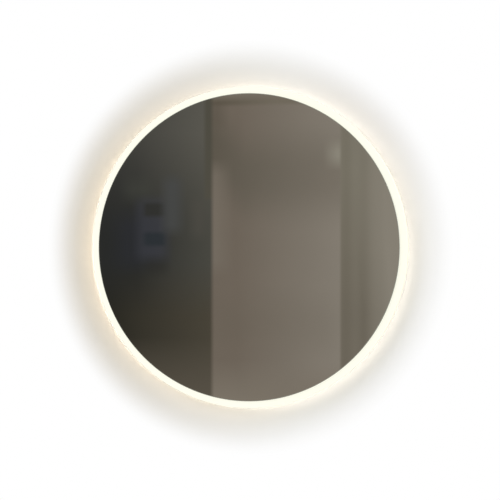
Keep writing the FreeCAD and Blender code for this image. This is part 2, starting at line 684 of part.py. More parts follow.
def make_hanger_bar():
    """Hooked bar: foot riveted on the pan, shelf that rests on the rail's lip, hook behind the lip."""
    body = new_body("hanger_bar")
    section = drawing_on(body, "section", "YZ_Plane")
    hook_back, hook_front = "rail_thk + hook_gap", "rail_thk + hook_gap + hanger_thk"
    hook_end, shelf_top = f"{HOOK_SHELF} - hook_depth", f"{HOOK_SHELF} + hanger_thk"
    foot_back, foot_top = "wall_space - hanger_thk", f"{HOOK_SHELF} + hanger_foot"
    outline(section, [(hook_end, hook_back), (shelf_top, hook_back), (shelf_top, foot_back),
                      (foot_top, foot_back), (foot_top, "wall_space"), (HOOK_SHELF, "wall_space"),
                      (HOOK_SHELF, hook_front), (hook_end, hook_front)])
    pad(body, section, "hanger_length", symmetric=True)
    dress(body, "Fillet", level_edge((shelf_top, hook_back), (HOOK_SHELF, "wall_space")),
          "bend_inside + hanger_thk")
    dress(body, "Fillet", level_edge((HOOK_SHELF, hook_front), (shelf_top, foot_back)), "bend_inside")
    holes = drawing_on(body, "holes")
    places = []
    rivet_y = f"{HOOK_SHELF} + hanger_rivet_rise"
    for side in ("-", ""):
        for pair in ("hanger_rivet_inner", "hanger_rivet_outer"):
            circle(holes, f"{side}{pair} / 2", rivet_y, "rivet_dia / 2")
            places.append(at(f"{side}{pair} / 2", rivet_y, foot_back))
    cut(body, holes)

    shank, grip = "rivet_dia / 2 - skin_gap", "hanger_thk + pan_thk"
    tail_end = f"{grip} + rivet_dia * 0.4"
    rivet = turned("hanger_rivet", [
        ("0", "-rivet_dia * 0.3"), ("rivet_dia * 0.95", "-rivet_dia * 0.3"), ("rivet_dia * 0.95", "0"),
        (shank, "0"), (shank, grip), ("rivet_dia * 0.75", grip), ("rivet_dia * 0.75", tail_end),
        ("0", tail_end)], master_body)
    group("hanger_rivets", rivet, places)


def make_wall_bumpers():
    """Rubber buffers pushed through the pan; their flat ends bear on the wall."""
    neck, body_r = "buffer_hole_dia / 2 - skin_gap", "buffer_dia / 2"
    barb_r, barb_end = "buffer_hole_dia * 0.62", f"{PAN_FRONT} + buffer_barb"
    buffer = turned("wall_bumper", [
        ("0", "0"), (f"{body_r} - buffer_bevel", "0"), (body_r, "buffer_bevel"), (body_r, "wall_space"),
        (neck, "wall_space"), (neck, PAN_FRONT), (barb_r, PAN_FRONT), (barb_r, barb_end), ("0", barb_end)],
        master_body)
    group("wall_bumpers", buffer, [at("-buffer_spread / 2", f"-{BUFFER_DROP}", "0"),
                                   at("buffer_spread / 2", f"-{BUFFER_DROP}", "0")])


# ---------------------------------------------------------------- service opening and its tray
def four_corners(pitch, y):
    """The corners of a square round a middle point on the y axis."""
    return [(f"{side_x}{pitch} / 2", f"{y} {side_y} {pitch} / 2")
            for side_x in ("-", "") for side_y in ("-", "+")]


def make_access_cover():
    body = new_body("access_cover")
    plan = drawing_on(body, "plan", level="wall_space - cover_thk")
    rectangle(plan, "0", "hatch_rise", COVER_WIDTH, COVER_WIDTH)
    pad(body, plan, "cover_thk")
    dress(body, "Fillet", upright, "hatch_round")
    holes = drawing_on(body, "holes")
    circle(holes, "0", "hatch_rise + grommet_rise", "grommet_hole_dia / 2")
    for x, y in four_corners(COVER_PITCH, "hatch_rise"):
        circle(holes, x, y, SCREW_HOLE_R)
    cut(body, holes)

    cover_screw = screw("cover_screw", "screw_across", "cover_thk + pan_thk + tray_boss_rise")
    group("cover_screws", cover_screw, [at(x, y, "wall_space - cover_thk")
                                        for x, y in four_corners(COVER_PITCH, "hatch_rise")])


def make_cable_grommet():
    """Rubber grommet in the cover: two flanges, a neck in the hole, and the supply cord's bore."""
    bore, flange = "cord_dia / 2", "grommet_dia / 2"
    neck = "grommet_hole_dia / 2 - skin_gap"
    back, front = "wall_space - cover_thk", "wall_space"
    body = turned("cable_grommet", [
        (bore, f"{back} - grommet_flange"), (flange, f"{back} - grommet_flange"), (flange, back),
        (neck, back), (neck, front), (flange, front), (flange, f"{front} + grommet_flange"),
        (bore, f"{front} + grommet_flange")])
    body.Placement = at("0", "hatch_rise + grommet_rise", "0")


def make_terminal_box():
    """Moulded tray behind the opening, with flange, screw bosses, lead holes and the clamp's posts."""
    body = new_body("terminal_box")
    flange = drawing_on(body, "flange", level=PAN_FRONT)
    rectangle(flange, "0", "hatch_rise", COVER_WIDTH, COVER_WIDTH)
    pad(body, flange, "tray_wall")
    dress(body, "Fillet", upright, "hatch_round")
    walls = drawing_on(body, "walls", level=PAN_FRONT)
    rectangle(walls, "0", "hatch_rise", "hatch_width + 2 * tray_wall", "hatch_width + 2 * tray_wall")
    pad(body, walls, "tray_depth + tray_wall")
    bosses = drawing_on(body, "bosses", level=PAN_FRONT)
    for x, y in four_corners(COVER_PITCH, "hatch_rise"):
        circle(bosses, x, y, "tray_boss_dia / 2")
    pad(body, bosses, "tray_boss_rise + tray_wall")
    cavity = drawing_on(body, "cavity", level=PAN_FRONT)
    rectangle(cavity, "0", "hatch_rise", "hatch_width", "hatch_width")
    cut(body, cavity, "tray_depth")
    pilots = drawing_on(body, "pilots", level=PAN_FRONT)
    for x, y in four_corners(COVER_PITCH, "hatch_rise"):
        circle(pilots, x, y, PILOT_R)
    cut(body, pilots, "tray_boss_rise + tray_wall / 2")
    lead_holes = drawing_on(body, "lead_holes", "XZ_Plane", f"-hatch_rise + {HATCH_HALF} - tray_wall")
    for x in ("-pole_pitch", "0", "pole_pitch"):
        circle(lead_holes, x, "lead_level", "lead_dia / 2 + 2 * seat_gap")
    cut(body, lead_holes, "tray_wall * 3")
    posts = drawing_on(body, "posts", level=f"{TRAY_FLOOR} - clamp_post")
    for side in ("-", ""):
        circle(posts, f"{side}clamp_screw_pitch / 2", CLAMP_Y, "clamp_width / 2")
    pad(body, posts, "clamp_post")
    post_holes = drawing_on(body, "post_holes", level=f"{TRAY_FLOOR} - clamp_post")
    for side in ("-", ""):
        circle(post_holes, f"{side}clamp_screw_pitch / 2", CLAMP_Y, PILOT_R)
    cut(body, post_holes, "clamp_post")


def make_cord_clamp():
    """Saddle across the supply cord, arched over it, on the tray's two posts."""
    body = new_body("cord_clamp")
    seat = f"{TRAY_FLOOR} - clamp_post"
    bar = drawing_on(body, "bar", level=f"{seat} - clamp_thk")
    rectangle(bar, "0", CLAMP_Y, "clamp_length", "clamp_width")
    pad(body, bar, "clamp_thk")
    dress(body, "Fillet", upright, "clamp_width / 4")
    arch = drawing_on(body, "arch", "XZ_Plane", f"-{CLAMP_Y} - clamp_width")
    circle(arch, "0", seat, "clamp_thk * 0.7")
    cut(body, arch, "clamp_width * 2")
    holes = drawing_on(body, "holes")
    for side in ("-", ""):
        circle(holes, f"{side}clamp_screw_pitch / 2", CLAMP_Y, SCREW_HOLE_R)
    cut(body, holes)

    clamp_screw = screw("clamp_screw", "clamp_width * 0.7", "clamp_thk + clamp_post - seat_gap")
    group("clamp_screws", clamp_screw, [at(f"{side}clamp_screw_pitch / 2", CLAMP_Y, f"{seat} - clamp_thk")
                                        for side in ("-", "")])


# ---------------------------------------------------------------- terminals
def make_terminal_block():
    """Three-pole block on the tray's floor, grooved between its poles, with tubes and screws."""
    body = new_body("terminal_block")
    top = f"{TRAY_FLOOR} - block_height"
    base = drawing_on(body, "base", level=top)
    rectangle(base, "0", BLOCK_Y, "block_length", "block_width")
    pad(body, base, "block_height")
    grooves = drawing_on(body, "grooves", level=top)
    for side in ("-", ""):
        rectangle(grooves, f"{side}pole_pitch / 2", BLOCK_Y, "pole_pitch / 5", "block_width * 1.1")
    cut(body, grooves, "block_height / 4")
    bores = drawing_on(body, "bores", "XZ_Plane")
    for x in ("-pole_pitch", "0", "pole_pitch"):
        rectangle(bores, x, "lead_level", "pole_width + 2 * skin_gap", "pole_width + 2 * skin_gap")
    cut(body, bores)
    screw_holes = drawing_on(body, "screw_holes", level=top)
    rows = [f"{BLOCK_Y} {side} pole_screw_pitch / 2" for side in ("-", "+")]
    for x in ("-pole_pitch", "0", "pole_pitch"):
        for y in rows:
            circle(screw_holes, x, y, "pole_screw_dia / 2 + seat_gap")
    cut(body, screw_holes, f"lead_level - ({top})")

    tube = master_body("terminal_tube")
    ring = drawing_on(tube, "ring", "XZ_Plane")
    rectangle(ring, "0", "0", "pole_width", "pole_width")
    rectangle(ring, "0", "0", "pole_bore", "pole_bore")
    pad(tube, ring, "pole_length", symmetric=True)
    threads = drawing_on(tube, "threads", level="-pole_width")
    for side in ("-", ""):
        circle(threads, "0", f"{side}pole_screw_pitch / 2", "pole_screw_dia / 2 + skin_gap")
    cut(tube, threads, "pole_width")
    group("terminal_tubes", tube, [at(x, BLOCK_Y, "lead_level") for x in ("-pole_pitch", "0", "pole_pitch")])

    # each screw reaches down to the lead in its tube
    start = f"({top} + skin_gap * 10)"
    reach = f"lead_level - lead_dia / 2 - skin_gap - {start}"
    clamping_screw = turned("terminal_screw", [
        ("0", "0"), ("pole_screw_dia / 2", "0"), ("pole_screw_dia / 2", reach), ("0", reach)], master_body)
    group("terminal_screws", clamping_screw,
          [at(x, y, start) for x in ("-pole_pitch", "0", "pole_pitch") for y in rows])


# ---------------------------------------------------------------- driver
def make_driver():
    """Flat moulded case with two feet, a lid with a centring lip, and the populated board inside."""
    case = new_body("driver_case")
    base = drawing_on(case, "base", level=PAN_FRONT)
    rectangle(base, "0", "-driver_drop", "driver_length", "driver_width")
    pad(case, base, "driver_height")
    dress(case, "Fillet", upright, "driver_round")
    ears = drawing_on(case, "ears", level=PAN_FRONT)
    rectangle(ears, "0", "-driver_drop", "driver_length + 2 * driver_ear", "ear_width")
    pad(case, ears, "ear_thk")
    cavity = drawing_on(case, "cavity", level=f"{PAN_FRONT} + driver_wall")
    rectangle(cavity, "0", "-driver_drop", "driver_length - 2 * driver_wall",
              "driver_width - 2 * driver_wall")
    cut(case, cavity, "driver_height")
    posts = drawing_on(case, "posts", level=f"{PAN_FRONT} + driver_wall")
    for x, y in ((side_x, side_y) for side_x in ("-", "") for side_y in ("-", "+")):
        circle(posts, f"{x}{BOARD_LENGTH} * 0.4", f"-driver_drop {y} {BOARD_WIDTH} * 0.4", "board_post")
    pad(case, posts, "board_post")
    ear_holes = drawing_on(case, "ear_holes")
    for side in ("-", ""):
        circle(ear_holes, f"{side}{EAR_X}", "-driver_drop", SCREW_HOLE_R)
    cut(case, ear_holes)
    lead_slot = drawing_on(case, "lead_slots", "YZ_Plane")
    slot(lead_slot, ("-driver_drop - lead_pitch / 2", "lead_level"),
         ("-driver_drop + lead_pitch / 2", "lead_level"), "lead_dia / 2 + 2 * seat_gap")
    cut(case, lead_slot)

    lid = new_body("driver_lid")
    lid_level = f"{PAN_FRONT} + driver_height"
    plate = drawing_on(lid, "plate", level=lid_level)
    rectangle(plate, "0", "-driver_drop", "driver_length", "driver_width")
    pad(lid, plate, "driver_wall")
    dress(lid, "Fillet", upright, "driver_round")
    lip = drawing_on(lid, "lip", level=f"{lid_level} - driver_wall")
    for inset in ("2 * driver_wall + 2 * seat_gap", "4 * driver_wall"):
        rectangle(lip, "0", "-driver_drop", f"driver_length - ({inset})", f"driver_width - ({inset})")
    pad(lid, lip, "driver_wall")

    board = new_body("driver_board")
    plate = drawing_on(board, "plate", level=f"{BOARD_TOP} - board_thk")
    rectangle(plate, "0", "-driver_drop", BOARD_LENGTH, BOARD_WIDTH)
    pad(board, plate, "board_thk")
    clear_height = f"({lid_level} - driver_wall - {BOARD_TOP})"
    ends = drawing_on(board, "lead_blocks", level=BOARD_TOP)
    for side in ("-", ""):
        rectangle(ends, f"{side}({BOARD_LENGTH} / 2 - {BOARD_WIDTH} * 0.15)", "-driver_drop",
                  f"{BOARD_WIDTH} * 0.3", f"{BOARD_WIDTH} * 0.4")
    pad(board, ends, "2 * (lead_level - " + BOARD_TOP + ")")
    coils = drawing_on(board, "coils", level=BOARD_TOP)
    rectangle(coils, f"-{BOARD_LENGTH} * 0.04", "-driver_drop", f"{BOARD_WIDTH} * 0.7",
              f"{BOARD_WIDTH} * 0.65")
    rectangle(coils, f"{BOARD_LENGTH} * 0.16", f"-driver_drop - {BOARD_WIDTH} * 0.2", f"{BOARD_WIDTH} * 0.3",
              f"{BOARD_WIDTH} * 0.3")
    pad(board, coils, f"{clear_height} * 0.9")
    cans = drawing_on(board, "cans", level=BOARD_TOP)
    circle(cans, f"-{BOARD_LENGTH} * 0.24", f"-driver_drop + {BOARD_WIDTH} * 0.2", f"{BOARD_WIDTH} * 0.15")
    circle(cans, f"-{BOARD_LENGTH} * 0.24", f"-driver_drop - {BOARD_WIDTH} * 0.2", f"{BOARD_WIDTH} * 0.15")
    circle(cans, f"{BOARD_LENGTH} * 0.28", f"-driver_drop + {BOARD_WIDTH} * 0.15", f"{BOARD_WIDTH} * 0.12")
    pad(board, cans, f"{clear_height} * 0.8")

    driver_screw = screw("driver_screw", "screw_across", "ear_thk + pan_thk + screw_tip")
    over = Rotation(Vector(1, 0, 0), 180)
    group("driver_screws", driver_screw, [at(f"{side}{EAR_X}", "-driver_drop", f"{PAN_FRONT} + ear_thk", over)
                                          for side in ("-", "")])


# ---------------------------------------------------------------- leads
def lead_path(points):
    """Straight runs joined by arcs that touch them; gives the wire, its length and its least radius."""
    edges, start, least = [], points[0], float("inf")
    for before, corner, after in zip(points, points[1:], points[2:]):
        back, ahead = before - corner, after - corner
        run = 0.45 * min(back.Length, ahead.Length)
        back.normalize()
        ahead.normalize()
        turn = math.pi - back.getAngle(ahead)
        radius = run / math.tan(turn / 2)
        enter, leave = corner + back * run, corner + ahead * run
        inward = back + ahead
        inward.normalize()
        summit = corner + inward * (radius / math.cos(turn / 2) - radius)
        edges.append(Part.LineSegment(start, enter).toShape())
        edges.append(Part.Arc(enter, summit, leave).toShape())
        start, least = leave, min(least, radius)
    edges.append(Part.LineSegment(start, points[-1]).toShape())
    wire = Part.Wire(edges)
    return wire, wire.Length, least


def spots(stops):
    """Points at the leads' level from pairs of expressions."""
    return [Vector(number(x), number(y), number("lead_level")) for x, y in stops]


def beside(points, distance):
    """The same route shifted to its left by a distance, with its corners mitred."""
    def left_of(start, end):
        ahead = (end - start).normalize()
        return Vector(-ahead.y, ahead.x, 0)

    sides = [left_of(start, end) for start, end in zip(points, points[1:])]
    shifted = [points[0] + sides[0] * distance]
    for corner, first, second in zip(points[1:], sides, sides[1:]):
        mitre = first + second
        shifted.append(corner + mitre * (2 * distance / mitre.Length ** 2))
    return shifted + [points[-1] + sides[-1] * distance]


def make_lead(name, points):
    """One insulated lead along its points."""
    wire, length, least = lead_path(points)
    radius, sides = number("lead_dia / 2"), int(number("lead_sides"))
    across = (points[1] - points[0]).cross(Vector(0, 0, 1)).normalize()
    corners = [points[0] + across * radius * math.cos(2 * math.pi * index / sides)
               + Vector(0, 0, radius * math.sin(2 * math.pi * index / sides)) for index in range(sides)]
    section = Part.makePolygon(corners + corners[:1])
    lead = doc.addObject("Part::Feature", name)
    lead.Label = name
    lead.Shape = wire.makePipeShell([section], True, False)
    nodes[name] = lead
    expected = Part.Face(section).Area * length
    print(f"{name}: length {length:.1f}, least radius {least:.1f} ({least / (2 * radius):.1f} diameters), "
          f"volume {lead.Shape.Volume / expected:.4f} of section times length")


# the strip leads' stops: from the driver's right end over the bead, along the lane outside it, to the bushing
STRIP_STOPS = [
    (f"{BOARD_LENGTH} / 2", "-driver_drop"),
    ("driver_length / 2 + 23.5", "-driver_drop"),
    ("driver_length / 2 + 33.5", f"-driver_drop - {BUSHING_DROP} * 0.17"),
    (f"{LANE_R} * 0.5", f"-{LANE_R} * 0.79"),
    (f"{LANE_R} * 0.24", f"-{LANE_R} * 0.93"),
    ("0", f"-{LANE_R} * 0.96"),
    ("0", f"-{PLUG_FACE}")]


def make_leads():
    """Supply pair round the driver's left end, earth lead to its pillar, strip pair down to the bushing."""
    grip = f"{BLOCK_Y} - pole_screw_pitch / 2 + pole_screw_dia"
    turn_y = f"hatch_rise - {HATCH_HALF} - 23"
    left_end = "-driver_length / 2"
    half = number("lead_pitch / 2")
    supply = spots([
        ("-pole_pitch / 2", turn_y), (f"{left_end} - 6.8", f"{turn_y} - 15"),
        (f"{left_end} - 26.3", f"{turn_y} - 48"), (f"{left_end} - 22.5", "-driver_drop"),
        (f"-{BOARD_LENGTH} / 2", "-driver_drop")])
    live_start = spots([("-pole_pitch", grip), ("-pole_pitch", turn_y)])
    neutral_start = spots([("0", grip), ("0", f"{turn_y} - lead_dia")])
    make_lead("live_lead", live_start + beside(supply, -half)[1:])
    make_lead("neutral_lead", neutral_start + beside(supply, half)[1:])
    make_lead("earth_lead", spots([
        ("pole_pitch", grip), ("pole_pitch", "earth_y + 18"), ("pole_pitch + 14", "earth_y"),
        ("earth_x - 6", "earth_y")]))
    make_lead("strip_lead_plus", beside(spots(STRIP_STOPS), half))
    make_lead("strip_lead_minus", beside(spots(STRIP_STOPS), -half))


def make_lead_clips():
    """Saddle clips on the pan, each on a straight stretch of the strip leads."""
    stops = spots(STRIP_STOPS)
    clip_y = -number(f"{FLANGE_IN} - clip_gap - lead_pitch * 2")
    last_clip = (stops[-2].y - clip_y) / (stops[-2].y - stops[-1].y)
    # the stretch that each clip is on, and how far along it the clip lies
    for index, (stretch, share) in enumerate([(1, 0.485), (3, 0.51), (5, last_clip)], 1):
        clip = new_body(f"lead_clip_{index}")
        foot = drawing_on(clip, "foot")
        rectangle(foot, "0", "0", "lead_pitch * 5", "lead_pitch * 4")
        pad(clip, foot, "lead_dia")
        dress(clip, "Fillet", upright, "lead_dia")
        loop = drawing_on(clip, "loop")
        rectangle(loop, "0", "0", "lead_pitch * 3.4", "lead_dia * 2")
        pad(clip, loop, f"lead_level - {PAN_FRONT} + lead_dia * 1.5")
        hole = drawing_on(clip, "hole", "XZ_Plane")
        height = f"lead_level - {PAN_FRONT}"
        slot(hole, ("-lead_pitch / 2", height), ("lead_pitch / 2", height), "lead_dia / 2 + seat_gap")
        cut(clip, hole)
        run = stops[stretch + 1] - stops[stretch]
        middle = stops[stretch] + run * share
        middle.z = number(PAN_FRONT)
        clip.Placement = Placement(middle, Rotation(Vector(0, 1, 0), run))


# ---------------------------------------------------------------- earth point
def make_earth_point():
    """Hexagonal pillar with a stud through the pan, the lead's tag on it, and its nut."""
    pillar = new_body("earth_pillar")
    tag_level = "lead_level - tag_thk / 2"
    prism = drawing_on(pillar, "prism", level=PAN_FRONT)
    hexagon(prism, "earth_x", "earth_y", "earth_across")
    pad(pillar, prism, f"{tag_level} - {PAN_FRONT}")
    stud = drawing_on(pillar, "stud", level="wall_space")
    circle(stud, "earth_x", "earth_y", "earth_dia / 2 - skin_gap")
    pad(pillar, stud, f"{tag_level} - wall_space + tag_thk + nut_rise + 1")

    tag = new_body("earth_tag")
    eye = drawing_on(tag, "eye", level=tag_level)
    circle(eye, "earth_x", "earth_y", "earth_dia")
    pad(tag, eye, "tag_thk")
    tail = drawing_on(tag, "tail", level=tag_level)
    rectangle(tail, "earth_x - earth_dia * 1.1", "earth_y", "earth_dia", "lead_dia * 1.4")
    pad(tag, tail, "tag_thk")
    barrel = drawing_on(tag, "barrel", "YZ_Plane", "earth_x - tag_reach")
    circle(barrel, "earth_y", "lead_level", "lead_dia * 0.9")
    pad(tag, barrel, "barrel_length")
    bore = drawing_on(tag, "bore", "YZ_Plane", "earth_x - tag_reach")
    circle(bore, "earth_y", "lead_level", "lead_dia / 2 + skin_gap")
    cut(tag, bore, "barrel_length - 2 * seat_gap")
    hole = drawing_on(tag, "hole")
    circle(hole, "earth_x", "earth_y", "earth_dia / 2 + skin_gap")
    cut(tag, hole)

    nut = new_body("earth_nut")
    prism = drawing_on(nut, "prism", level=f"{tag_level} + tag_thk")
    hexagon(prism, "earth_x", "earth_y", "earth_across")
    circle(prism, "earth_x", "earth_y", "earth_dia / 2 + skin_gap")
    pad(nut, prism, "nut_rise")


# ---------------------------------------------------------------- assembly
for make in (make_mirror_glass, make_mirror_tape, make_opal_front_ring, make_opal_rear_ring,
             make_led_channel, make_joint_plate, make_light_strip, make_strip_connector, make_back_pan,
             make_wall_rail, make_hanger_bar, make_wall_bumpers, make_access_cover, make_cable_grommet,
             make_terminal_box, make_cord_clamp, make_terminal_block, make_driver, make_leads,
             make_lead_clips, make_earth_point):
    make()

# stand every piece up: the front turns to -Y and the wall screws come to the origin
stand_up = Placement(Vector(0, 0, -number(RAIL_RISE)), Rotation(Vector(1, 0, 0), 90))
for piece in nodes.values():
    piece.Placement = stand_up.multiply(piece.Placement)
doc.recompute()

for item in doc.Objects:
    if "Invalid" in item.State or "Error" in item.State:
        raise RuntimeError(f"{item.Name} failed: {item.State}")
for name, piece in nodes.items():
    if piece.Shape.isNull() or not piece.Shape.isValid() or not piece.Shape.Solids:
        raise RuntimeError(f"{name} has no valid solid")
for name, piece in nodes.items():
    piece.Shape.exportStep(f"parts/{name}.step")
print(f"{len(nodes)} pieces, {sum(len(piece.Shape.Solids) for piece in nodes.values())} solids")
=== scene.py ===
import math

import bmesh
import bpy
from mathutils import Matrix, Vector


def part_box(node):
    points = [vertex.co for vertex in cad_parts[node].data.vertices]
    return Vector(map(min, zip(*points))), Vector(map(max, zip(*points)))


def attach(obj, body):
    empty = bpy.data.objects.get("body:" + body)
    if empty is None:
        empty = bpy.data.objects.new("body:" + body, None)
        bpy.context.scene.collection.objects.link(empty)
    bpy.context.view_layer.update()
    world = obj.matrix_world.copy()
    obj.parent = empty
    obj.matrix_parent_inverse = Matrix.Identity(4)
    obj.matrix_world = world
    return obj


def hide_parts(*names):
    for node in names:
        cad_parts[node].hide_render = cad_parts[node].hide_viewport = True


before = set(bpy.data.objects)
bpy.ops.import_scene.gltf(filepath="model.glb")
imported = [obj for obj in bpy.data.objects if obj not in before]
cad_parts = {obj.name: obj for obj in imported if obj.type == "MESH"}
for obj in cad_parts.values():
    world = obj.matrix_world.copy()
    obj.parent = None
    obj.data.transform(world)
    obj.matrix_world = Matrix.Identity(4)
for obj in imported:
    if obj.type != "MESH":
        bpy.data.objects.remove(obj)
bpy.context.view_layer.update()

# ---------------------------------------------------------------- sizes and places, in metres
MM = 0.001
GLASS_LOW, GLASS_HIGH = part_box("mirror_glass")
RING_LOW, RING_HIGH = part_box("opal_front_ring")
MIDDLE = (GLASS_LOW + GLASS_HIGH) / 2
GLASS_R = (GLASS_HIGH.x - GLASS_LOW.x) / 2
RING_R = (RING_HIGH.x - RING_LOW.x) / 2
GLASS_FRONT, GLASS_BACK = GLASS_LOW.y, GLASS_HIGH.y
LEAD_LEVEL = (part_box("earth_lead")[0].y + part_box("earth_lead")[1].y) / 2     # the earth lead's middle depth
ROUND_STEPS = 288        # steps of the large turned rings
SMALL_STEPS = 36         # steps of washers, rivets, buffers and the grommet
SHANK_STEPS = 20         # steps of a screw's thread
HALO_STEPS = 96          # steps of the glowing band
SHARP_ANGLE = math.radians(35)   # edges that turn by more stay sharp
CHIP_COUNT = 100         # light sources round the chamber
CHIPS_PER_CUT = 3        # light sources between two cutting places of the strip

# the photograph's frame and viewing angle
IMAGE_PX = 500
DISC_PX = (248.8, 246.75)        # middle of the mirror's outline in the photograph
LEAN_PX = (3.9, -0.5)            # how far the near half of a turned disc carries that middle
DISC_HALF_HEIGHT_PX = 154.1
CAMERA_YAW = math.radians(12.3)
LENS, SENSOR = 85.0, 36.0

# the wall round the mirror and the light that the chamber throws on it; a turn runs from the right over the
# top, and a spread is the power of the cosine round it, so that a high one is narrow
WALL_GAP = 0.6 * MM                           # keeps the wall just behind the object
CLEAR_FROM, CLEAR_TO = GLASS_R + 0.010, GLASS_R + 0.018   # painted glow: the ring's glow clears the wall beside it
COOL_FROM, COOL_TO = GLASS_R + 0.022, GLASS_R + 0.055     # painted light: the warm light near the ring gives way to cool daylight
FADE_FROM, FADE_TO = GLASS_R + 0.042, GLASS_R + 0.110     # the wall turns white
FADE_ASIDE = 0.012                            # these lie round a point that the camera sees behind the middle
WALL_LEFT, WALL_RIGHT = -0.33, 0.1            # between them the wall gets lighter and less warm: painted light, stronger towards the right
WALL_SHADE_TURN, WALL_SHADE_SPREAD = math.radians(45), 6.0    # painted shade: a little darker at the upper right
HALO_IN = 3.0 * MM                            # the glowing band stands this far inside the ring's outside
HALO_LOW, HALO_HIGH = 6.6 * MM, 9.6 * MM      # and between these heights over the wall
HALO_PLAIN, HALO_STRONG = 6.3, 21.0           # its strength, and that at its strongest place
HALO_TURN, HALO_SPREAD, CLEAR_SPREAD = math.radians(182), 3.0, 2.0      # on the left
HALO_FOOT, HALO_FOOT_TURN, HALO_FOOT_SPREAD = 1.9, math.radians(270), 4.0   # what it gains at the bottom

# the room that the mirror shows; its edges stand where the camera sees them on the glass, measured from the
# mirror's middle, and a soft edge runs from before its place to after it
ROOM_Y, ROOM_GLOW = -3.4, 1.1
DOORWAY_START, DOORWAY_EDGE = -0.34, -0.0648  # the dark doorway
DOOR_LINE = -0.0773                           # the door's edge strip begins here
JAMB_EDGE, LINTEL = 0.1793, 0.263             # the plain wall ends, and the part above it begins
DOORWAY_SOFT, JAMB_SOFT, LINTEL_SOFT = (-0.002, 0.006), (-0.003, 0.002), (-0.002, 0.005)
LINTEL_SHADOW = (0.008, 0.021)                # the shadow over the lintel
CURTAIN_FOLD, CURTAIN_CREST = 0.036, 0.2067   # pitch of the soft folds beyond the jamb, and one crest
CURTAIN_LIGHT = (0.208, 0.26)                 # across which the hanging gets lighter towards the rim
SHELF_SIDES, SHELF_ENDS = (-0.196, -0.155), (-0.022, 0.098)
SHELF_PITCH, SHELF_MIDDLE = 0.0555, 0.0155    # pitch of the shelves, and the middle of one compartment
SHELF_INSIDE = (0.03, 0.06)                   # the lower compartment's tone gives way to the upper one's

# soft upright patches in that room: sides, ends, softness of the edge, tone, and how much of it
BEHIND_SHELF = (
    ((-0.25, -0.155), (-0.035, 0.06), 0.02, "#2F3038", 0.4),                # a cooler, bluish dim patch beside the cabinet
    ((-0.232, -0.18), (0.092, 0.128), 0.014, "#45453F", 0.45),              # a painted highlight on its top
    ((-0.208, -0.151), (-0.022, 0.09), 0.012, "#3E3E45", 0.6),              # its frame
)
BEFORE_SHELF = (
    ((-0.19, -0.15), (-0.05, -0.022), 0.01, "#2C2A25", 0.35),               # its lowest compartment
    ((-0.1, -0.078), (0.02, 0.09), 0.012, "#504C46", 0.6),                  # a stile by the door
    ((-0.156, -0.124), (0.03, 0.13), 0.012, "#494949", 0.8),                # a pale reveal
    ((DOOR_LINE, DOORWAY_EDGE + 0.02), (0.09, 0.4), 0.004, "#514D44", 1.0),     # the door's edge strip
)
ON_PLAIN_WALL = (
    ((DOORWAY_EDGE, JAMB_EDGE), (-0.19, -0.1), 0.03, "#655C51", 0.16),      # a faint shade below
    ((DOORWAY_EDGE - 0.01, -0.038), (-0.04, 0.15), 0.016, "#776D63", 0.8),  # light along the doorway
    ((0.16, JAMB_EDGE + 0.03), (0.153, 0.188), 0.013, "#8F887C", 0.95),     # a light spot by the jamb
    ((DOORWAY_EDGE - 0.02, -0.04), (0.225, 0.3), 0.012, "#5F564C", 0.6),    # painted shade in the corner under the lintel
)

# the stage: width and height of its planes, and how far below the mirror's hanging height the floor lies
WALL_SIZE, FLOOR_SIZE, ROOM_SIZE = (2.4, 2.2), (12, 12), (18, 10)
FLOOR_DROP, FLOOR_FADE = 1.0, (0.6, 1.3)
WORLD_LIGHT = 0.55
LAMPS = (       # name, place, size, power in watts, and whether the object mirrors it
    ("key_lamp", (-1.6, -2.6, 1.6), 1.6, 42, False),
    ("fill_lamp", (2.2, -2.4, 0.4), 1.8, 24, False),
    ("rear_key_lamp", (1.9, 1.3, 1.4), 0.8, 46, True),
    ("rear_fill_lamp", (-2.0, 2.2, -0.2), 1.4, 10, True),
)


# ---------------------------------------------------------------- helpers for meshes
def piece_of(bm, name, body, materials, replaced):
    """Finishes a bmesh as a piece of the object that rides on a body and stands for some CAD nodes."""
    bmesh.ops.remove_doubles(bm, verts=bm.verts, dist=1e-7)
    bmesh.ops.recalc_face_normals(bm, faces=bm.faces)
    mesh = bpy.data.meshes.new(name)
    bm.to_mesh(mesh)
    bm.free()
    for material in materials:
        mesh.materials.append(material)
    mesh.shade_smooth()
    mesh.set_sharp_from_angle(angle=SHARP_ANGLE)
    piece = bpy.data.objects.new(name, mesh)
    bpy.context.scene.collection.objects.link(piece)
    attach(piece, body)
    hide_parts(*replaced)


def lathe(bm, outline, middle, steps, side=1, closed=True):
    """Turns an outline of (radius, height) pairs about an axis along y; heights run to +y, or to -y with
    side -1."""
    verts = [bm.verts.new((radius, side * height, 0)) for radius, height in outline]
    pairs = list(zip(verts, verts[1:])) + ([(verts[-1], verts[0])] if closed else [])
    edges = [bm.edges.new(pair) for pair in pairs]
    before = set(bm.faces)
    bmesh.ops.spin(bm, geom=verts + edges, cent=(0, 0, 0), axis=(0, 1, 0), dvec=(0, 0, 0),
                   angle=2 * math.pi, steps=steps, use_merge=True, use_duplicate=False)
    made = [face for face in bm.faces if face not in before]
    moved = list({vert for face in made for vert in face.verts})
    bmesh.ops.translate(bm, verts=moved, vec=middle)
    return made


def soften(bm, faces, width, segments, angle):
    """Rounds those edges of some faces that turn by more than an angle."""
    chosen = {edge for face in faces for edge in face.edges}
    edges = [edge for edge in chosen if len(edge.link_faces) == 2
             and edge.calc_face_angle(0) > math.radians(angle)]
    bmesh.ops.bevel(bm, geom=edges, offset=width, offset_type="OFFSET", segments=segments, profile=0.5,
                    affect="EDGES", clamp_overlap=True, material=-1)


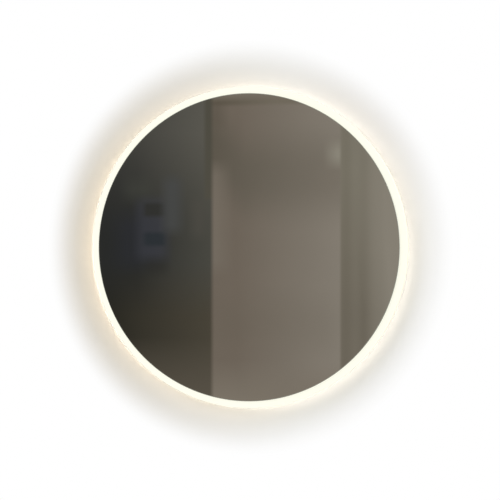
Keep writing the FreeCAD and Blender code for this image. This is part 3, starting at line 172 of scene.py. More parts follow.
def solids_of(node):
    """The lowest and highest corner of each solid of a CAD node."""
    bm = bmesh.new()
    bm.from_mesh(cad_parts[node].data)
    bmesh.ops.remove_doubles(bm, verts=bm.verts, dist=1e-6)
    left, boxes = set(bm.verts), []
    while left:
        island = [left.pop()]
        for vert in island:
            for edge in vert.link_edges:
                other = edge.other_vert(vert)
                if other in left:
                    left.remove(other)
                    island.append(other)
        boxes.append((Vector([min(vert.co[axis] for vert in island) for axis in range(3)]),
                      Vector([max(vert.co[axis] for vert in island) for axis in range(3)])))
    bm.free()
    return boxes


# ---------------------------------------------------------------- helpers for materials
def linear(colour):
    """An sRGB hex colour as linear red, green, blue and alpha."""
    parts = [int(colour[start:start + 2], 16) / 255 for start in (1, 3, 5)]
    return [part / 12.92 if part <= 0.04045 else ((part + 0.055) / 1.055) ** 2.4 for part in parts] + [1.0]


def add(tree, kind, sockets=None, **settings):
    """Adds a node; each of its sockets gets a value or a link, by name or number."""
    made = tree.nodes.new("ShaderNode" + kind)
    for name, value in settings.items():
        setattr(made, name, value)
    for key, value in (sockets or {}).items():
        if isinstance(value, bpy.types.NodeSocket):
            tree.links.new(value, made.inputs[key])
        else:
            made.inputs[key].default_value = value
    return made


def tones_along(tree, value, start, end, first, second, **settings):
    """Turns one tone into another between two values; a tone is a hex colour or another node's output."""
    share = add(tree, "MapRange", {"Value": value, 1: start, 2: end}, **settings)
    first, second = (linear(tone) if isinstance(tone, str) else tone for tone in (first, second))
    return add(tree, "Mix", {0: share.outputs[0], 6: first, 7: second}, data_type="RGBA").outputs[2]


def begin(name, **sockets):
    """A new material, its tree, its object coordinates and its shader with values on its own sockets."""
    made = bpy.data.materials.new(name)
    made.use_nodes = True
    tree = made.node_tree
    tree.nodes.clear()
    shader = add(tree, "BsdfPrincipled", {key.replace("_", " "): value for key, value in sockets.items()})
    add(tree, "OutputMaterial", {"Surface": shader.outputs[0]})
    return made, tree, add(tree, "TexCoord").outputs["Object"], shader


def moulded(name, colour, shade, grain, roughness, relief, **sockets):
    """A moulded surface: two near tones in soft clouds, and an even grain of a size in millimetres. Grains
    finer than that are drawn this coarse, so that they show."""
    made, tree, where, shader = begin(name, **sockets)
    clouds = add(tree, "TexNoise", {"Vector": where, "Scale": 1 / (40 * grain * MM), "Detail": 3.0})
    tone = add(tree, "Mix", {0: clouds.outputs[0], 6: linear(colour), 7: linear(shade)}, data_type="RGBA")
    fine = add(tree, "TexNoise", {"Vector": where, "Scale": 1 / (grain * MM), "Detail": 2.0})
    gloss = add(tree, "MapRange", {"Value": fine.outputs[0], 3: roughness - 0.08, 4: roughness + 0.08})
    bump = add(tree, "Bump", {"Height": fine.outputs[0], "Strength": relief, "Distance": 0.2 * grain * MM})
    tree.links.new(tone.outputs[2], shader.inputs["Base Color"])
    tree.links.new(gloss.outputs[0], shader.inputs["Roughness"])
    tree.links.new(bump.outputs[0], shader.inputs["Normal"])
    return made


def beat_round(tree, apart, count):
    """A cosine that beats a number of times round the mirror, from separated object coordinates."""
    up = add(tree, "Math", {0: apart.outputs["Z"], 1: MIDDLE.z}, operation="SUBTRACT")
    turn = add(tree, "Math", {0: up.outputs[0], 1: apart.outputs["X"]}, operation="ARCTAN2")
    beat = add(tree, "Math", {0: turn.outputs[0], 1: float(count)}, operation="MULTIPLY")
    return add(tree, "Math", {0: beat.outputs[0]}, operation="COSINE").outputs[0]


# ---------------------------------------------------------------- glass, acrylic and bond
def silver_coating():
    """Chemically silvered float glass: a clear reflection with a faint haze of wiping."""
    made, tree, where, shader = begin("silvered_float_glass", Metallic=1.0)
    haze = add(tree, "TexNoise", {"Vector": where, "Scale": 1 / (90 * MM), "Detail": 4.0,
                                  "Distortion": 0.6})
    tone = add(tree, "Mix", {0: haze.outputs[0], 6: linear("#F1F4F2"), 7: linear("#EAEEEC")},
               data_type="RGBA")
    gloss = add(tree, "MapRange", {"Value": haze.outputs[0], 1: 0.3, 2: 0.7, 3: 0.006, 4: 0.022})
    tree.links.new(tone.outputs[2], shader.inputs["Base Color"])
    tree.links.new(gloss.outputs[0], shader.inputs["Roughness"])
    return made


def glass_edge():
    """Ground and polished glass edge: the grey-green of float glass, warmed by the lit ring beside it."""
    return moulded("polished_glass_edge", "#73756A", "#838579", 0.6, 0.16, 0.05, IOR=1.52, Coat_Weight=0.4)


def backing_paint():
    """Sprayed backing paint of the silvering: flat blue-grey with a slight orange peel."""
    return moulded("mirror_backing_paint", "#6B7378", "#62696E", 1.8, 0.55, 0.25)


def lit_opal(name, near, far, body_near, body_far, strength):
    """Moulded opal acrylic with a satin skin, lit from inside: near white in front and warmer towards the
    wall, with a faint beat of the light sources behind it."""
    beat_depth, front_skin = 0.015, 1.0 * MM
    made, tree, where, shader = begin(name, Roughness=0.6, IOR=1.49, Specular_IOR_Level=0.2,
                                      Emission_Strength=strength)
    apart = add(tree, "SeparateXYZ", {0: where})
    dip = add(tree, "MapRange", {"Value": beat_round(tree, apart, CHIP_COUNT), 1: -1.0, 2: 1.0,
                                 3: beat_depth, 4: 0.0})
    depth = add(tree, "MapRange", {"Value": apart.outputs["Y"], 1: RING_LOW.y + front_skin,
                                   2: RING_HIGH.y})
    fade = add(tree, "Math", {0: depth.outputs[0], 1: dip.outputs[0]}, operation="ADD", use_clamp=True)
    glow = add(tree, "Mix", {0: fade.outputs[0], 6: linear(near), 7: linear(far)}, data_type="RGBA")
    body = tones_along(tree, fade.outputs[0], 0.0, 1.0, body_near, body_far)
    tree.links.new(glow.outputs[2], shader.inputs["Emission Color"])
    tree.links.new(body, shader.inputs["Base Color"])
    return made


def foam_bond():
    """Cross-linked polyethylene foam: off-white, with fine open cells at its cut edges."""
    made, tree, where, shader = begin("polyethylene_foam_bond", Roughness=0.9)
    cells = add(tree, "TexVoronoi", {"Vector": where, "Scale": 1 / (0.7 * MM)})
    tone = add(tree, "Mix", {0: cells.outputs["Distance"], 6: linear("#CFCDC6"), 7: linear("#E8E6E0")},
               data_type="RGBA")
    bump = add(tree, "Bump", {"Height": cells.outputs["Distance"], "Strength": 0.6, "Distance": 0.2 * MM})
    tree.links.new(tone.outputs[2], shader.inputs["Base Color"])
    tree.links.new(bump.outputs[0], shader.inputs["Normal"])
    return made


# ---------------------------------------------------------------- metals
def galvanised_sheet():
    """Hot-dip galvanised steel sheet: flat crystals of spangle, each a little different in the light."""
    made, tree, where, shader = begin("hot_dip_galvanised_sheet", Metallic=0.75)
    ragged = add(tree, "TexNoise", {"Vector": where, "Scale": 1 / (4 * MM), "Detail": 3.0})
    pushed = add(tree, "VectorMath", {0: ragged.outputs["Color"], "Scale": 4 * MM}, operation="SCALE")
    bent = add(tree, "VectorMath", {0: where, 1: pushed.outputs[0]}, operation="ADD")
    spangle = add(tree, "TexVoronoi", {"Vector": bent.outputs[0], "Scale": 1 / (6.5 * MM)})
    pick = add(tree, "SeparateColor", {0: spangle.outputs["Color"]})
    tone = add(tree, "Mix", {0: pick.outputs[0], 6: linear("#8E9497"), 7: linear("#9CA2A5")},
               data_type="RGBA")
    gloss = add(tree, "MapRange", {"Value": pick.outputs[1], 3: 0.36, 4: 0.5})
    frost = add(tree, "TexNoise", {"Vector": where, "Scale": 1 / (0.8 * MM), "Detail": 2.0})
    bump = add(tree, "Bump", {"Height": frost.outputs[0], "Strength": 0.12, "Distance": 0.05 * MM})
    tree.links.new(tone.outputs[2], shader.inputs["Base Color"])
    tree.links.new(gloss.outputs[0], shader.inputs["Roughness"])
    tree.links.new(bump.outputs[0], shader.inputs["Normal"])
    return made


def zinc_plate():
    """Bright zinc-plated steel with a clear passivation: silvery, with a breath of blue and straw."""
    made, tree, where, shader = begin("zinc_plated_steel", Metallic=1.0)
    film = add(tree, "TexNoise", {"Vector": where, "Scale": 1 / (14 * MM), "Detail": 3.0,
                                  "Distortion": 0.8})
    tone = add(tree, "Mix", {0: film.outputs[0], 6: linear("#A3AAB0"), 7: linear("#B1AEA2")},
               data_type="RGBA")
    fine = add(tree, "TexNoise", {"Vector": where, "Scale": 1 / (0.5 * MM), "Detail": 2.0})
    gloss = add(tree, "MapRange", {"Value": fine.outputs[0], 3: 0.22, 4: 0.38})
    bump = add(tree, "Bump", {"Height": fine.outputs[0], "Strength": 0.06, "Distance": 0.03 * MM})
    tree.links.new(tone.outputs[2], shader.inputs["Base Color"])
    tree.links.new(gloss.outputs[0], shader.inputs["Roughness"])
    tree.links.new(bump.outputs[0], shader.inputs["Normal"])
    return made


def drawn_metal(name, bright, dull, roughness):
    """Rolled or drawn metal: die lines along the pull, drawn coarse enough to show, and soft clouds of
    oxide."""
    made, tree, where, shader = begin(name, Metallic=1.0)
    stretched = add(tree, "Mapping", {"Vector": where, "Scale": (0.04, 1.0, 1.0)})
    lines = add(tree, "TexNoise", {"Vector": stretched.outputs[0], "Scale": 1 / (0.6 * MM), "Detail": 3.0})
    clouds = add(tree, "TexNoise", {"Vector": where, "Scale": 1 / (25 * MM), "Detail": 2.0})
    tone = add(tree, "Mix", {0: clouds.outputs[0], 6: linear(bright), 7: linear(dull)}, data_type="RGBA")
    gloss = add(tree, "MapRange", {"Value": lines.outputs[0], 3: roughness - 0.08, 4: roughness + 0.1})
    bump = add(tree, "Bump", {"Height": lines.outputs[0], "Strength": 0.1, "Distance": 0.04 * MM})
    tree.links.new(tone.outputs[2], shader.inputs["Base Color"])
    tree.links.new(gloss.outputs[0], shader.inputs["Roughness"])
    tree.links.new(bump.outputs[0], shader.inputs["Normal"])
    return made


# ---------------------------------------------------------------- electrical finishes
def circuit_board():
    """Glass-fibre board under green solder mask: darker copper areas show through in square patches."""
    made, tree, where, shader = begin("solder_masked_board", Roughness=0.3, IOR=1.5, Coat_Weight=0.3)
    tracks = add(tree, "TexBrick", {"Vector": where, "Scale": 1.0, "Color1": (0.0, 0.0, 0.0, 1.0),
                                    "Color2": (1.0, 1.0, 1.0, 1.0), "Mortar": (0.5, 0.5, 0.5, 1.0),
                                    "Mortar Size": 0.4 * MM, "Brick Width": 9 * MM, "Row Height": 4 * MM})
    tone = add(tree, "Mix", {0: tracks.outputs["Color"], 6: linear("#1F5A3A"), 7: linear("#2C7048")},
               data_type="RGBA")
    tree.links.new(tone.outputs[2], shader.inputs["Base Color"])
    bump = add(tree, "Bump", {"Height": tracks.outputs["Fac"], "Strength": 0.3, "Distance": 0.05 * MM})
    tree.links.new(bump.outputs[0], shader.inputs["Normal"])
    return made


def strip_laminate():
    """White-coated flexible laminate: a pair of copper pads shows at each cutting place."""
    pad_from, pad_full = 0.93, 0.95
    made, tree, where, shader = begin("white_flexible_laminate", Roughness=0.45)
    apart = add(tree, "SeparateXYZ", {0: where})
    pads = add(tree, "MapRange", {"Value": beat_round(tree, apart, CHIP_COUNT / CHIPS_PER_CUT),
                                  1: pad_from, 2: pad_full})
    tone = add(tree, "Mix", {0: pads.outputs[0], 6: linear("#E9E8E2"), 7: linear("#B9794A")},
               data_type="RGBA")
    tree.links.new(tone.outputs[2], shader.inputs["Base Color"])
    return made


def striped_insulation():
    """Extruded earth insulation: green with a yellow stripe along the lead."""
    soft = 0.2 * MM
    made, tree, where, shader = begin("green_and_yellow_insulation", Roughness=0.42)
    apart = add(tree, "SeparateXYZ", {0: where})
    stripe = add(tree, "MapRange", {"Value": apart.outputs["Y"], 1: LEAD_LEVEL - soft,
                                    2: LEAD_LEVEL + soft})
    tone = add(tree, "Mix", {0: stripe.outputs[0], 6: linear("#2E8A3E"), 7: linear("#E4C62F")},
               data_type="RGBA")
    tree.links.new(tone.outputs[2], shader.inputs["Base Color"])
    return made


def phosphor():
    """Silicone-filled light source: warm yellow phosphor."""
    return moulded("phosphor_silicone", "#E8C34A", "#F0D26A", 0.3, 0.3, 0.1)


# ---------------------------------------------------------------- finishes of the CAD nodes
silver, edge_green, paint = silver_coating(), glass_edge(), backing_paint()
opal_front = lit_opal("lit_opal_acrylic", "#FFFFEF", "#FFF0D3", "#85847C", "#857C67", 0.78)
opal_rear = lit_opal("lit_opal_acrylic_rear", "#FFF9EE", "#FFF6E6", "#C4C2B6", "#C6C0B0", 0.36)
spangled, zinc = galvanised_sheet(), zinc_plate()
# rolled aluminium is cool and pale, drawn brass a bright warm yellow, and tin on copper a dull warm white
aluminium = drawn_metal("rolled_aluminium", "#C9CBCC", "#B9BCBE", 0.34)
brass = drawn_metal("drawn_brass", "#C9A558", "#B38F45", 0.28)
tinned = drawn_metal("tinned_copper", "#C5C2B8", "#AFA99A", 0.36)
# rubber is matt and nearly black, polycarbonate a smooth glossy white, and polyamide a duller ivory
rubber = moulded("moulded_rubber", "#1E1E1F", "#262627", 0.5, 0.72, 0.3)
polycarbonate = moulded("moulded_polycarbonate", "#E9E9E6", "#E2E2DE", 0.5, 0.36, 0.15, IOR=1.58)
polyamide = moulded("moulded_polyamide", "#DEDCD2", "#D6D3C8", 0.4, 0.5, 0.2, IOR=1.53)

FINISHES = {
    foam_bond(): ["mirror_tape"],
    opal_rear: ["opal_rear_ring"],
    aluminium: ["led_channel", "channel_joint_plate", "joint_rivets"],
    strip_laminate(): ["led_strip"],
    phosphor(): ["led_chips"],
    polyamide: ["strip_connector", "lead_bushing", "cord_clamp", "terminal_block",
                "lead_clip_1", "lead_clip_2", "lead_clip_3"],
    polycarbonate: ["terminal_box", "driver_case", "driver_lid"],
    spangled: ["back_pan"],
    # powder coat: an even light grey with a lightly pebbled satin skin
    moulded("powder_coated_sheet", "#D5D6D3", "#CFD0CD", 0.35, 0.5, 0.3): ["access_cover"],
    zinc: ["wall_rail", "hanger_bar", "terminal_screws", "earth_pillar", "earth_nut"],
    brass: ["terminal_tubes"],
    tinned: ["earth_tag"],
    circuit_board(): ["driver_board"],
    striped_insulation(): ["earth_lead"],
    # extruded insulation: smooth and satin, in each lead's own even colour
    moulded("brown_insulation", "#6A4026", "#5E381F", 0.4, 0.45, 0.1): ["live_lead"],
    moulded("blue_insulation", "#2F5FA8", "#2A5598", 0.4, 0.45, 0.1): ["neutral_lead"],
    moulded("red_insulation", "#B5302A", "#A52A25", 0.4, 0.45, 0.1): ["strip_lead_plus"],
    moulded("black_insulation", "#232324", "#2B2B2C", 0.4, 0.45, 0.1): ["strip_lead_minus"],
}
for finish, names in FINISHES.items():
    for name in names:
        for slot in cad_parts[name].material_slots:
            slot.material = finish


# ---------------------------------------------------------------- mirror and lit ring
def make_mirror_disc():
    """The silvered disc with its polished arris; silver in front, green edge, paint behind."""
    arris = 1.0 * MM
    front, back = GLASS_FRONT, GLASS_BACK
    bm = bmesh.new()
    lathe(bm, [(0, front), (GLASS_R - arris, front), (GLASS_R, front + arris), (GLASS_R, back - arris),
               (GLASS_R - arris, back), (0, back)], (0, 0, MIDDLE.z), ROUND_STEPS, closed=False)
    bm.normal_update()
    for face in bm.faces:
        height = face.calc_center_median().y
        if abs(height - front) < arris / 10:
            face.material_index = 0
        elif abs(height - back) < arris / 10:
            face.material_index = 2
        else:
            face.material_index = 1
    piece_of(bm, "mirror_disc", "mirror", [silver, edge_green, paint], ["mirror_glass"])


def make_light_ring():
    """Front wall and outer wall of the opal chamber, with its moulded round corner and inner step."""
    front, back = RING_LOW.y, RING_HIGH.y
    wall, step, corner_r, width = 3.0 * MM, 1.0 * MM, 2.0 * MM, 32.0 * MM
    inner = RING_R - width
    bm = bmesh.new()
    faces = lathe(bm, [(inner, front), (RING_R, front), (RING_R, back), (RING_R - wall + step, back),
                       (RING_R - wall + step, back - wall), (RING_R - wall, back - wall),
                       (RING_R - wall, front + wall), (inner, front + wall)],
                  (0, 0, MIDDLE.z), ROUND_STEPS)
    corner = [edge for face in faces for edge in face.edges
              if all(abs(vert.co.y - front) < 1e-6 for vert in edge.verts)
              and all(math.hypot(vert.co.x, vert.co.z - MIDDLE.z) > RING_R - 1e-5 for vert in edge.verts)]
    bmesh.ops.bevel(bm, geom=list(set(corner)), offset=corner_r, offset_type="OFFSET", segments=5,
                    profile=0.5, affect="EDGES", material=-1)
    piece_of(bm, "light_ring_front", "mirror", [opal_front], ["opal_front_ring"])


make_mirror_disc()
make_light_ring()


# ---------------------------------------------------------------- fasteners and rubber pieces
def hex_screws(name, node, side):
    """Self-tapping screws with a washer under an indented hexagon head; side 1 has the heads towards the
    wall."""
    rise, washer_r, washer_rise = 2.2 * MM, 3.9 * MM, 0.7 * MM
    head_r, head_rise, edge_r = 2.9 * MM, 2.1 * MM, 0.2 * MM
    dent_rim, dent_depth = 0.9 * MM, 0.5 * MM
    crest, root, pitch, point_r = 1.44 * MM, 1.1 * MM, 1.1 * MM, 0.3 * MM
    turned = Matrix.Rotation(math.radians(90), 4, "X")
    bm = bmesh.new()
    for low, high in solids_of(node):
        middle = (low + high) / 2
        seat = high.y - rise if side > 0 else low.y + rise
        tip = low.y if side > 0 else high.y
        shrink = min(1.0, (high.x - low.x) / 2 / washer_r)
        spot = Vector((middle.x, seat, middle.z))
        lathe(bm, [(0, 0), (washer_r * shrink, 0), (washer_r * shrink, washer_rise * 0.6),
                   (washer_r * shrink * 0.9, washer_rise), (0, washer_rise)],
              spot, SMALL_STEPS, side, closed=False)
        head = bmesh.ops.create_cone(bm, cap_ends=True, segments=6, radius1=head_r * shrink,
                                     radius2=head_r * shrink, depth=head_rise - washer_rise * 0.5)
        lift = seat + side * (head_rise + washer_rise * 0.5) / 2
        bmesh.ops.transform(bm, matrix=Matrix.Translation((spot.x, lift, spot.z)) @ turned,
                            verts=head["verts"])
        faces = list({face for vert in head["verts"] for face in vert.link_faces})
        top = max(faces, key=lambda face: side * face.calc_center_median().y)
        bmesh.ops.inset_region(bm, faces=[top], thickness=dent_rim * shrink, depth=0)
        bmesh.ops.translate(bm, verts=top.verts, vec=(0, -side * dent_depth, 0))
        soften(bm, [face for face in faces if face.is_valid], edge_r, 2, 50.0)
        length = abs(seat - tip)
        teeth = int(length / pitch)
        outline = [(0, 0), (root, 0)]
        for tooth in range(teeth):
            outline += [(root, -(tooth + 0.25) * pitch), (crest, -(tooth + 0.55) * pitch)]
        outline += [(root, -teeth * pitch), (point_r, -length), (0, -length)]
        lathe(bm, outline, spot, SHANK_STEPS, side, closed=False)
    piece_of(bm, name, "mirror", [zinc], [node])


def blind_rivets(name, node):
    """Aluminium blind rivets: a domed head with the drawn mandrel's hole, and a bulged tail inside."""
    head_r, head_rise, shank_r, grip = 3.8 * MM, 1.2 * MM, 1.94 * MM, 2.7 * MM
    bm = bmesh.new()
    for low, high in solids_of(node):
        middle = (low + high) / 2
        seat = high.y - head_rise
        tail = seat - low.y
        dome = [(0, 0.35 * MM), (1.1 * MM, 0.35 * MM), (1.15 * MM, 1.15 * MM), (1.9 * MM, head_rise),
                (2.8 * MM, 0.98 * MM), (3.4 * MM, 0.62 * MM), (head_r, 0.2 * MM), (head_r, 0.0)]
        foot = [(shank_r, 0.0), (shank_r, -grip), (3.0 * MM, -grip), (3.0 * MM, -grip - 0.6 * MM),
                (2.3 * MM, -tail * 0.96), (1.2 * MM, -tail), (0, -tail)]
        lathe(bm, dome + foot, (middle.x, seat, middle.z), SMALL_STEPS, closed=False)
    piece_of(bm, name, "mirror", [aluminium], [node])


def wall_buffers():
    """Rubber buffers: a ribbed foot on the wall, a waist and the barb that holds in the pan."""
    pan_back, pan_front = 11.0 * MM, 12.2 * MM
    bm = bmesh.new()
    for low, high in solids_of("wall_bumpers"):
        middle = (low + high) / 2
        foot_r, depth = (high.x - low.x) / 2, high.y - low.y
        foot = [(0, -0.6 * MM), (2.0 * MM, -0.6 * MM), (2.4 * MM, 0), (3.6 * MM, 0), (4.0 * MM, -0.6 * MM),
                (5.4 * MM, -0.6 * MM), (5.8 * MM, 0), (foot_r - 1.6 * MM, 0),
                (foot_r - 0.5 * MM, -0.45 * MM), (foot_r, -1.6 * MM), (foot_r, -3.6 * MM),
                (foot_r - 1.0 * MM, -4.4 * MM), (foot_r - 1.0 * MM, -pan_back + 1.8 * MM),
                (foot_r, -pan_back + 1.0 * MM), (foot_r, -pan_back)]
        barb = [(3.94 * MM, -pan_back), (3.94 * MM, -pan_front), (4.9 * MM, -pan_front),
                (4.9 * MM, -pan_front - 0.6 * MM), (3.4 * MM, -depth), (0, -depth)]
        lathe(bm, foot + barb, (middle.x, high.y, middle.z), SMALL_STEPS, closed=False)
    piece_of(bm, "wall_buffer_pair", "mirror", [rubber], ["wall_bumpers"])


def cord_grommet():
    """Rubber grommet: two rounded flanges, the neck in the cover and a lipped bore."""
    low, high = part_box("cable_grommet")
    middle, outer, bore = (low + high) / 2, (high.x - low.x) / 2, 4.0 * MM
    flange, neck = 2.0 * MM, 7.94 * MM
    half = (high.y - low.y) / 2
    bm = bmesh.new()
    outline = [(bore + 0.5 * MM, half), (outer - 0.9 * MM, half), (outer - 0.25 * MM, half - 0.5 * MM),
               (outer, half - 1.2 * MM), (outer, half - flange), (neck, half - flange)]
    outline += [(radius, -height) for radius, height in reversed(outline)]
    outline += [(bore, -half + 0.5 * MM), (bore, half - 0.5 * MM)]
    lathe(bm, outline, middle, SMALL_STEPS)
    piece_of(bm, "supply_grommet", "mirror", [rubber], ["cable_grommet"])


hex_screws("pan_screw_set", "pan_screws", 1)
hex_screws("cover_screw_set", "cover_screws", 1)
hex_screws("driver_screw_set", "driver_screws", -1)
hex_screws("clamp_screw_set", "clamp_screws", 1)
blind_rivets("hanger_rivet_set", "hanger_rivets")
wall_buffers()
cord_grommet()


# ---------------------------------------------------------------- stage
def stage_plane(name, size, matrix, material):
    """A plane that isn't part of the object."""
    mesh = bpy.data.meshes.new(name)
    bm = bmesh.new()
    bmesh.ops.create_grid(bm, x_segments=1, y_segments=1, size=0.5)
    bmesh.ops.scale(bm, vec=(*size, 1), verts=bm.verts)
    bmesh.ops.transform(bm, matrix=matrix, verts=bm.verts)
    bm.to_mesh(mesh)
    bm.free()
    mesh.materials.append(material)
    plane = bpy.data.objects.new(name, mesh)
    bpy.context.scene.collection.objects.link(plane)
    return plane


def stage_material(name):
    """An empty material for the stage, with its tree and object coordinates."""
    made = bpy.data.materials.new(name)
    made.use_nodes = True
    tree = made.node_tree
    tree.nodes.clear()
    return made, tree, add(tree, "TexCoord").outputs["Object"]


def seen_share(tree):
    """One for the rays that show a surface: from the camera, in reflections and through clear pieces."""
    rays = add(tree, "LightPath")
    seen = add(tree, "Math", {0: rays.outputs["Is Camera Ray"], 1: rays.outputs["Is Glossy Ray"]},
               operation="MAXIMUM")
    return add(tree, "Math", {0: seen.outputs[0], 1: rays.outputs["Is Transmission Ray"]},
               operation="MAXIMUM").outputs[0]


def whiten(tree, reach, fade_from, fade_to, surface):
    """Fades a surface into the white background with its distance, for the rays that show it."""
    radius = add(tree, "VectorMath", {0: reach}, operation="LENGTH")
    fade = add(tree, "MapRange", {"Value": radius.outputs["Value"], 1: fade_from, 2: fade_to},
               interpolation_type="SMOOTHSTEP")
    share = add(tree, "Math", {0: fade.outputs[0], 1: seen_share(tree)}, operation="MULTIPLY")
    white = add(tree, "Emission", {"Color": (1, 1, 1, 1), "Strength": 1.0})
    return add(tree, "MixShader", {0: share.outputs[0], 1: surface, 2: white.outputs[0]}).outputs[0]


def lobe(tree, where, turn, spread):
    """One in a direction from the mirror's middle, and less the further round it is."""
    centred = add(tree, "Mapping", {"Vector": where, "Location": (0, 0, -MIDDLE.z), "Scale": (1, 0, 1)})
    outward = add(tree, "VectorMath", {0: centred.outputs[0]}, operation="NORMALIZE")
    toward = add(tree, "VectorMath", {0: outward.outputs[0], 1: (math.cos(turn), 0, math.sin(turn))},
                 operation="DOT_PRODUCT")
    ahead = add(tree, "Math", {0: toward.outputs["Value"], 1: 0.0}, operation="MAXIMUM")
    return add(tree, "Math", {0: ahead.outputs[0], 1: spread}, operation="POWER").outputs[0]


def wall_plaster():
    """Smooth painted plaster round the mirror, with painted light and shade on it: lighter and less warm to the
    right, warm near the ring, a painted shade at the upper right and a painted glow beside the ring on the
    left. It fades into the white background; clear from behind.
    """
    made, tree, where = stage_material("painted_plaster")
    across = add(tree, "SeparateXYZ", {0: where}).outputs["X"]
    centred = add(tree, "Mapping", {"Vector": where, "Location": (FADE_ASIDE, 0, -MIDDLE.z),
                                    "Scale": (1, 0, 1)})
    radius = add(tree, "VectorMath", {0: centred.outputs[0]}, operation="LENGTH").outputs["Value"]
    # painted light: lighter and less warm towards the right, warm near the ring and cool daylight further out
    warm = tones_along(tree, across, WALL_LEFT, WALL_RIGHT, "#D3CABB", "#E3E2DF")
    cool = tones_along(tree, across, WALL_LEFT, WALL_RIGHT, "#D0CBC2", "#E1E1DF")
    painted_light_tone = tones_along(tree, radius, COOL_FROM, COOL_TO, warm, cool)
    # painted shade: a little darker at the upper right
    shade = lobe(tree, where, WALL_SHADE_TURN, WALL_SHADE_SPREAD)
    painted_shade_tone = tones_along(tree, shade, 0.0, 1.0, painted_light_tone, "#DCDAD7")
    # painted glow of the ring, on the wall beside it and strongest on the left
    near = add(tree, "MapRange", {"Value": radius, 1: CLEAR_FROM, 2: CLEAR_TO, 3: 1.0, 4: 0.0})
    share = add(tree, "Math", {0: lobe(tree, where, HALO_TURN, CLEAR_SPREAD), 1: near.outputs[0]},
                operation="MULTIPLY")
    painted_glow_tone = tones_along(tree, share.outputs[0], 0.0, 1.0, painted_shade_tone, "#E4E6E4")
    paint_coat = add(tree, "BsdfDiffuse", {"Color": painted_glow_tone})
    front = whiten(tree, centred.outputs[0], FADE_FROM, FADE_TO, paint_coat.outputs[0])
    clear = add(tree, "BsdfTransparent")
    behind = add(tree, "NewGeometry").outputs["Backfacing"]
    both = add(tree, "MixShader", {0: behind, 1: front, 2: clear.outputs[0]})
    add(tree, "OutputMaterial", {"Surface": both.outputs[0]})
    return made


def pale_floor():
    """Matt pale floor far below the mirror, which fades into the white background."""
    made, tree, where = stage_material("pale_floor")
    clouds = add(tree, "TexNoise", {"Vector": where, "Scale": 1.5, "Detail": 2.0})
    tone = tones_along(tree, clouds.outputs[0], 0.0, 1.0, "#EFEEEB", "#F2F1EE")
    matt = add(tree, "BsdfDiffuse", {"Color": tone})
    flat = add(tree, "Mapping", {"Vector": where, "Scale": (1, 1, 0)})
    add(tree, "OutputMaterial", {"Surface": whiten(tree, flat.outputs[0], *FLOOR_FADE, matt.outputs[0])})
    return made


def between(tree, value, low, high, soft):
    """One between two limits and nothing outside them, with soft edges."""
    rise = add(tree, "MapRange", {"Value": value, 1: low - soft, 2: low + soft})
    fall = add(tree, "MapRange", {"Value": value, 1: high - soft, 2: high + soft, 3: 1.0, 4: 0.0})
    return add(tree, "Math", {0: rise.outputs[0], 1: fall.outputs[0]}, operation="MULTIPLY").outputs[0]


def across_edge(tree, value, edge, soft, first, second):
    """One tone before a soft edge and another one after it."""
    return tones_along(tree, value, edge + soft[0], edge + soft[1], first, second)


def patch(tree, places, under, sides, ends, soft, tone, part):
    """Lays a soft-edged upright patch of a tone over another one."""
    across, up = places
    wide, tall = between(tree, across, *sides, soft), between(tree, up, *ends, soft)
    area = add(tree, "Math", {0: wide, 1: tall}, operation="MULTIPLY")
    share = add(tree, "Math", {0: area.outputs[0], 1: part}, operation="MULTIPLY")
    return tones_along(tree, share.outputs[0], 0.0, 1.0, under, tone)


def patches(tree, places, under, rows):
    """Lays one patch after the other."""
    for row in rows:
        under = patch(tree, places, under, *row)
    return under


def waves(tree, value, pitch, crest):
    """A cosine with its crest at a place."""
    offset = add(tree, "Math", {0: value, 1: crest}, operation="SUBTRACT")
    turns = add(tree, "Math", {0: offset.outputs[0], 1: 2 * math.pi / pitch}, operation="MULTIPLY")
    return add(tree, "Math", {0: turns.outputs[0]}, operation="COSINE").outputs[0]


def dark_doorway(tree, places):
    """The dim room behind the doorway: brown below, grey above, an open shelf and the edge of its door."""
    across, up = places
    dim_side, mid_side, level_top = -0.27, -0.21, 0.215
    low_part, high_part, foot_part = (-0.13, -0.03), (0.0, 0.32), (-0.17, -0.3)
    low = tones_along(tree, across, dim_side, DOORWAY_EDGE, "#2A2822", "#4A443A")
    mid = tones_along(tree, across, mid_side, DOORWAY_EDGE, "#2B2B2A", "#4A4842")
    high = tones_along(tree, across, dim_side, DOORWAY_EDGE, "#43413D", "#625E57")
    brown = tones_along(tree, up, *low_part, low, mid)
    capped = add(tree, "Math", {0: up, 1: level_top}, operation="MINIMUM")
    lifted = tones_along(tree, capped.outputs[0], *high_part, brown, high, interpolation_type="SMOOTHSTEP")
    footed = tones_along(tree, up, *foot_part, lifted, "#5C544A")
    cabinet = patches(tree, places, footed, BEHIND_SHELF)
    open_share = add(tree, "MapRange", {"Value": waves(tree, up, SHELF_PITCH, SHELF_MIDDLE),
                                        1: -0.3, 2: 0.6, 3: 0.0, 4: 0.75})
    inside = tones_along(tree, up, *SHELF_INSIDE, "#2A2F33", "#302F2A")
    shelved = patch(tree, places, cabinet, SHELF_SIDES, SHELF_ENDS, 0.006, inside, open_share.outputs[0])
    fronted = patches(tree, places, shelved, BEFORE_SHELF)
    return tones_along(tree, across, DOORWAY_START - 0.02, DOORWAY_START, "#6A6258", fronted)


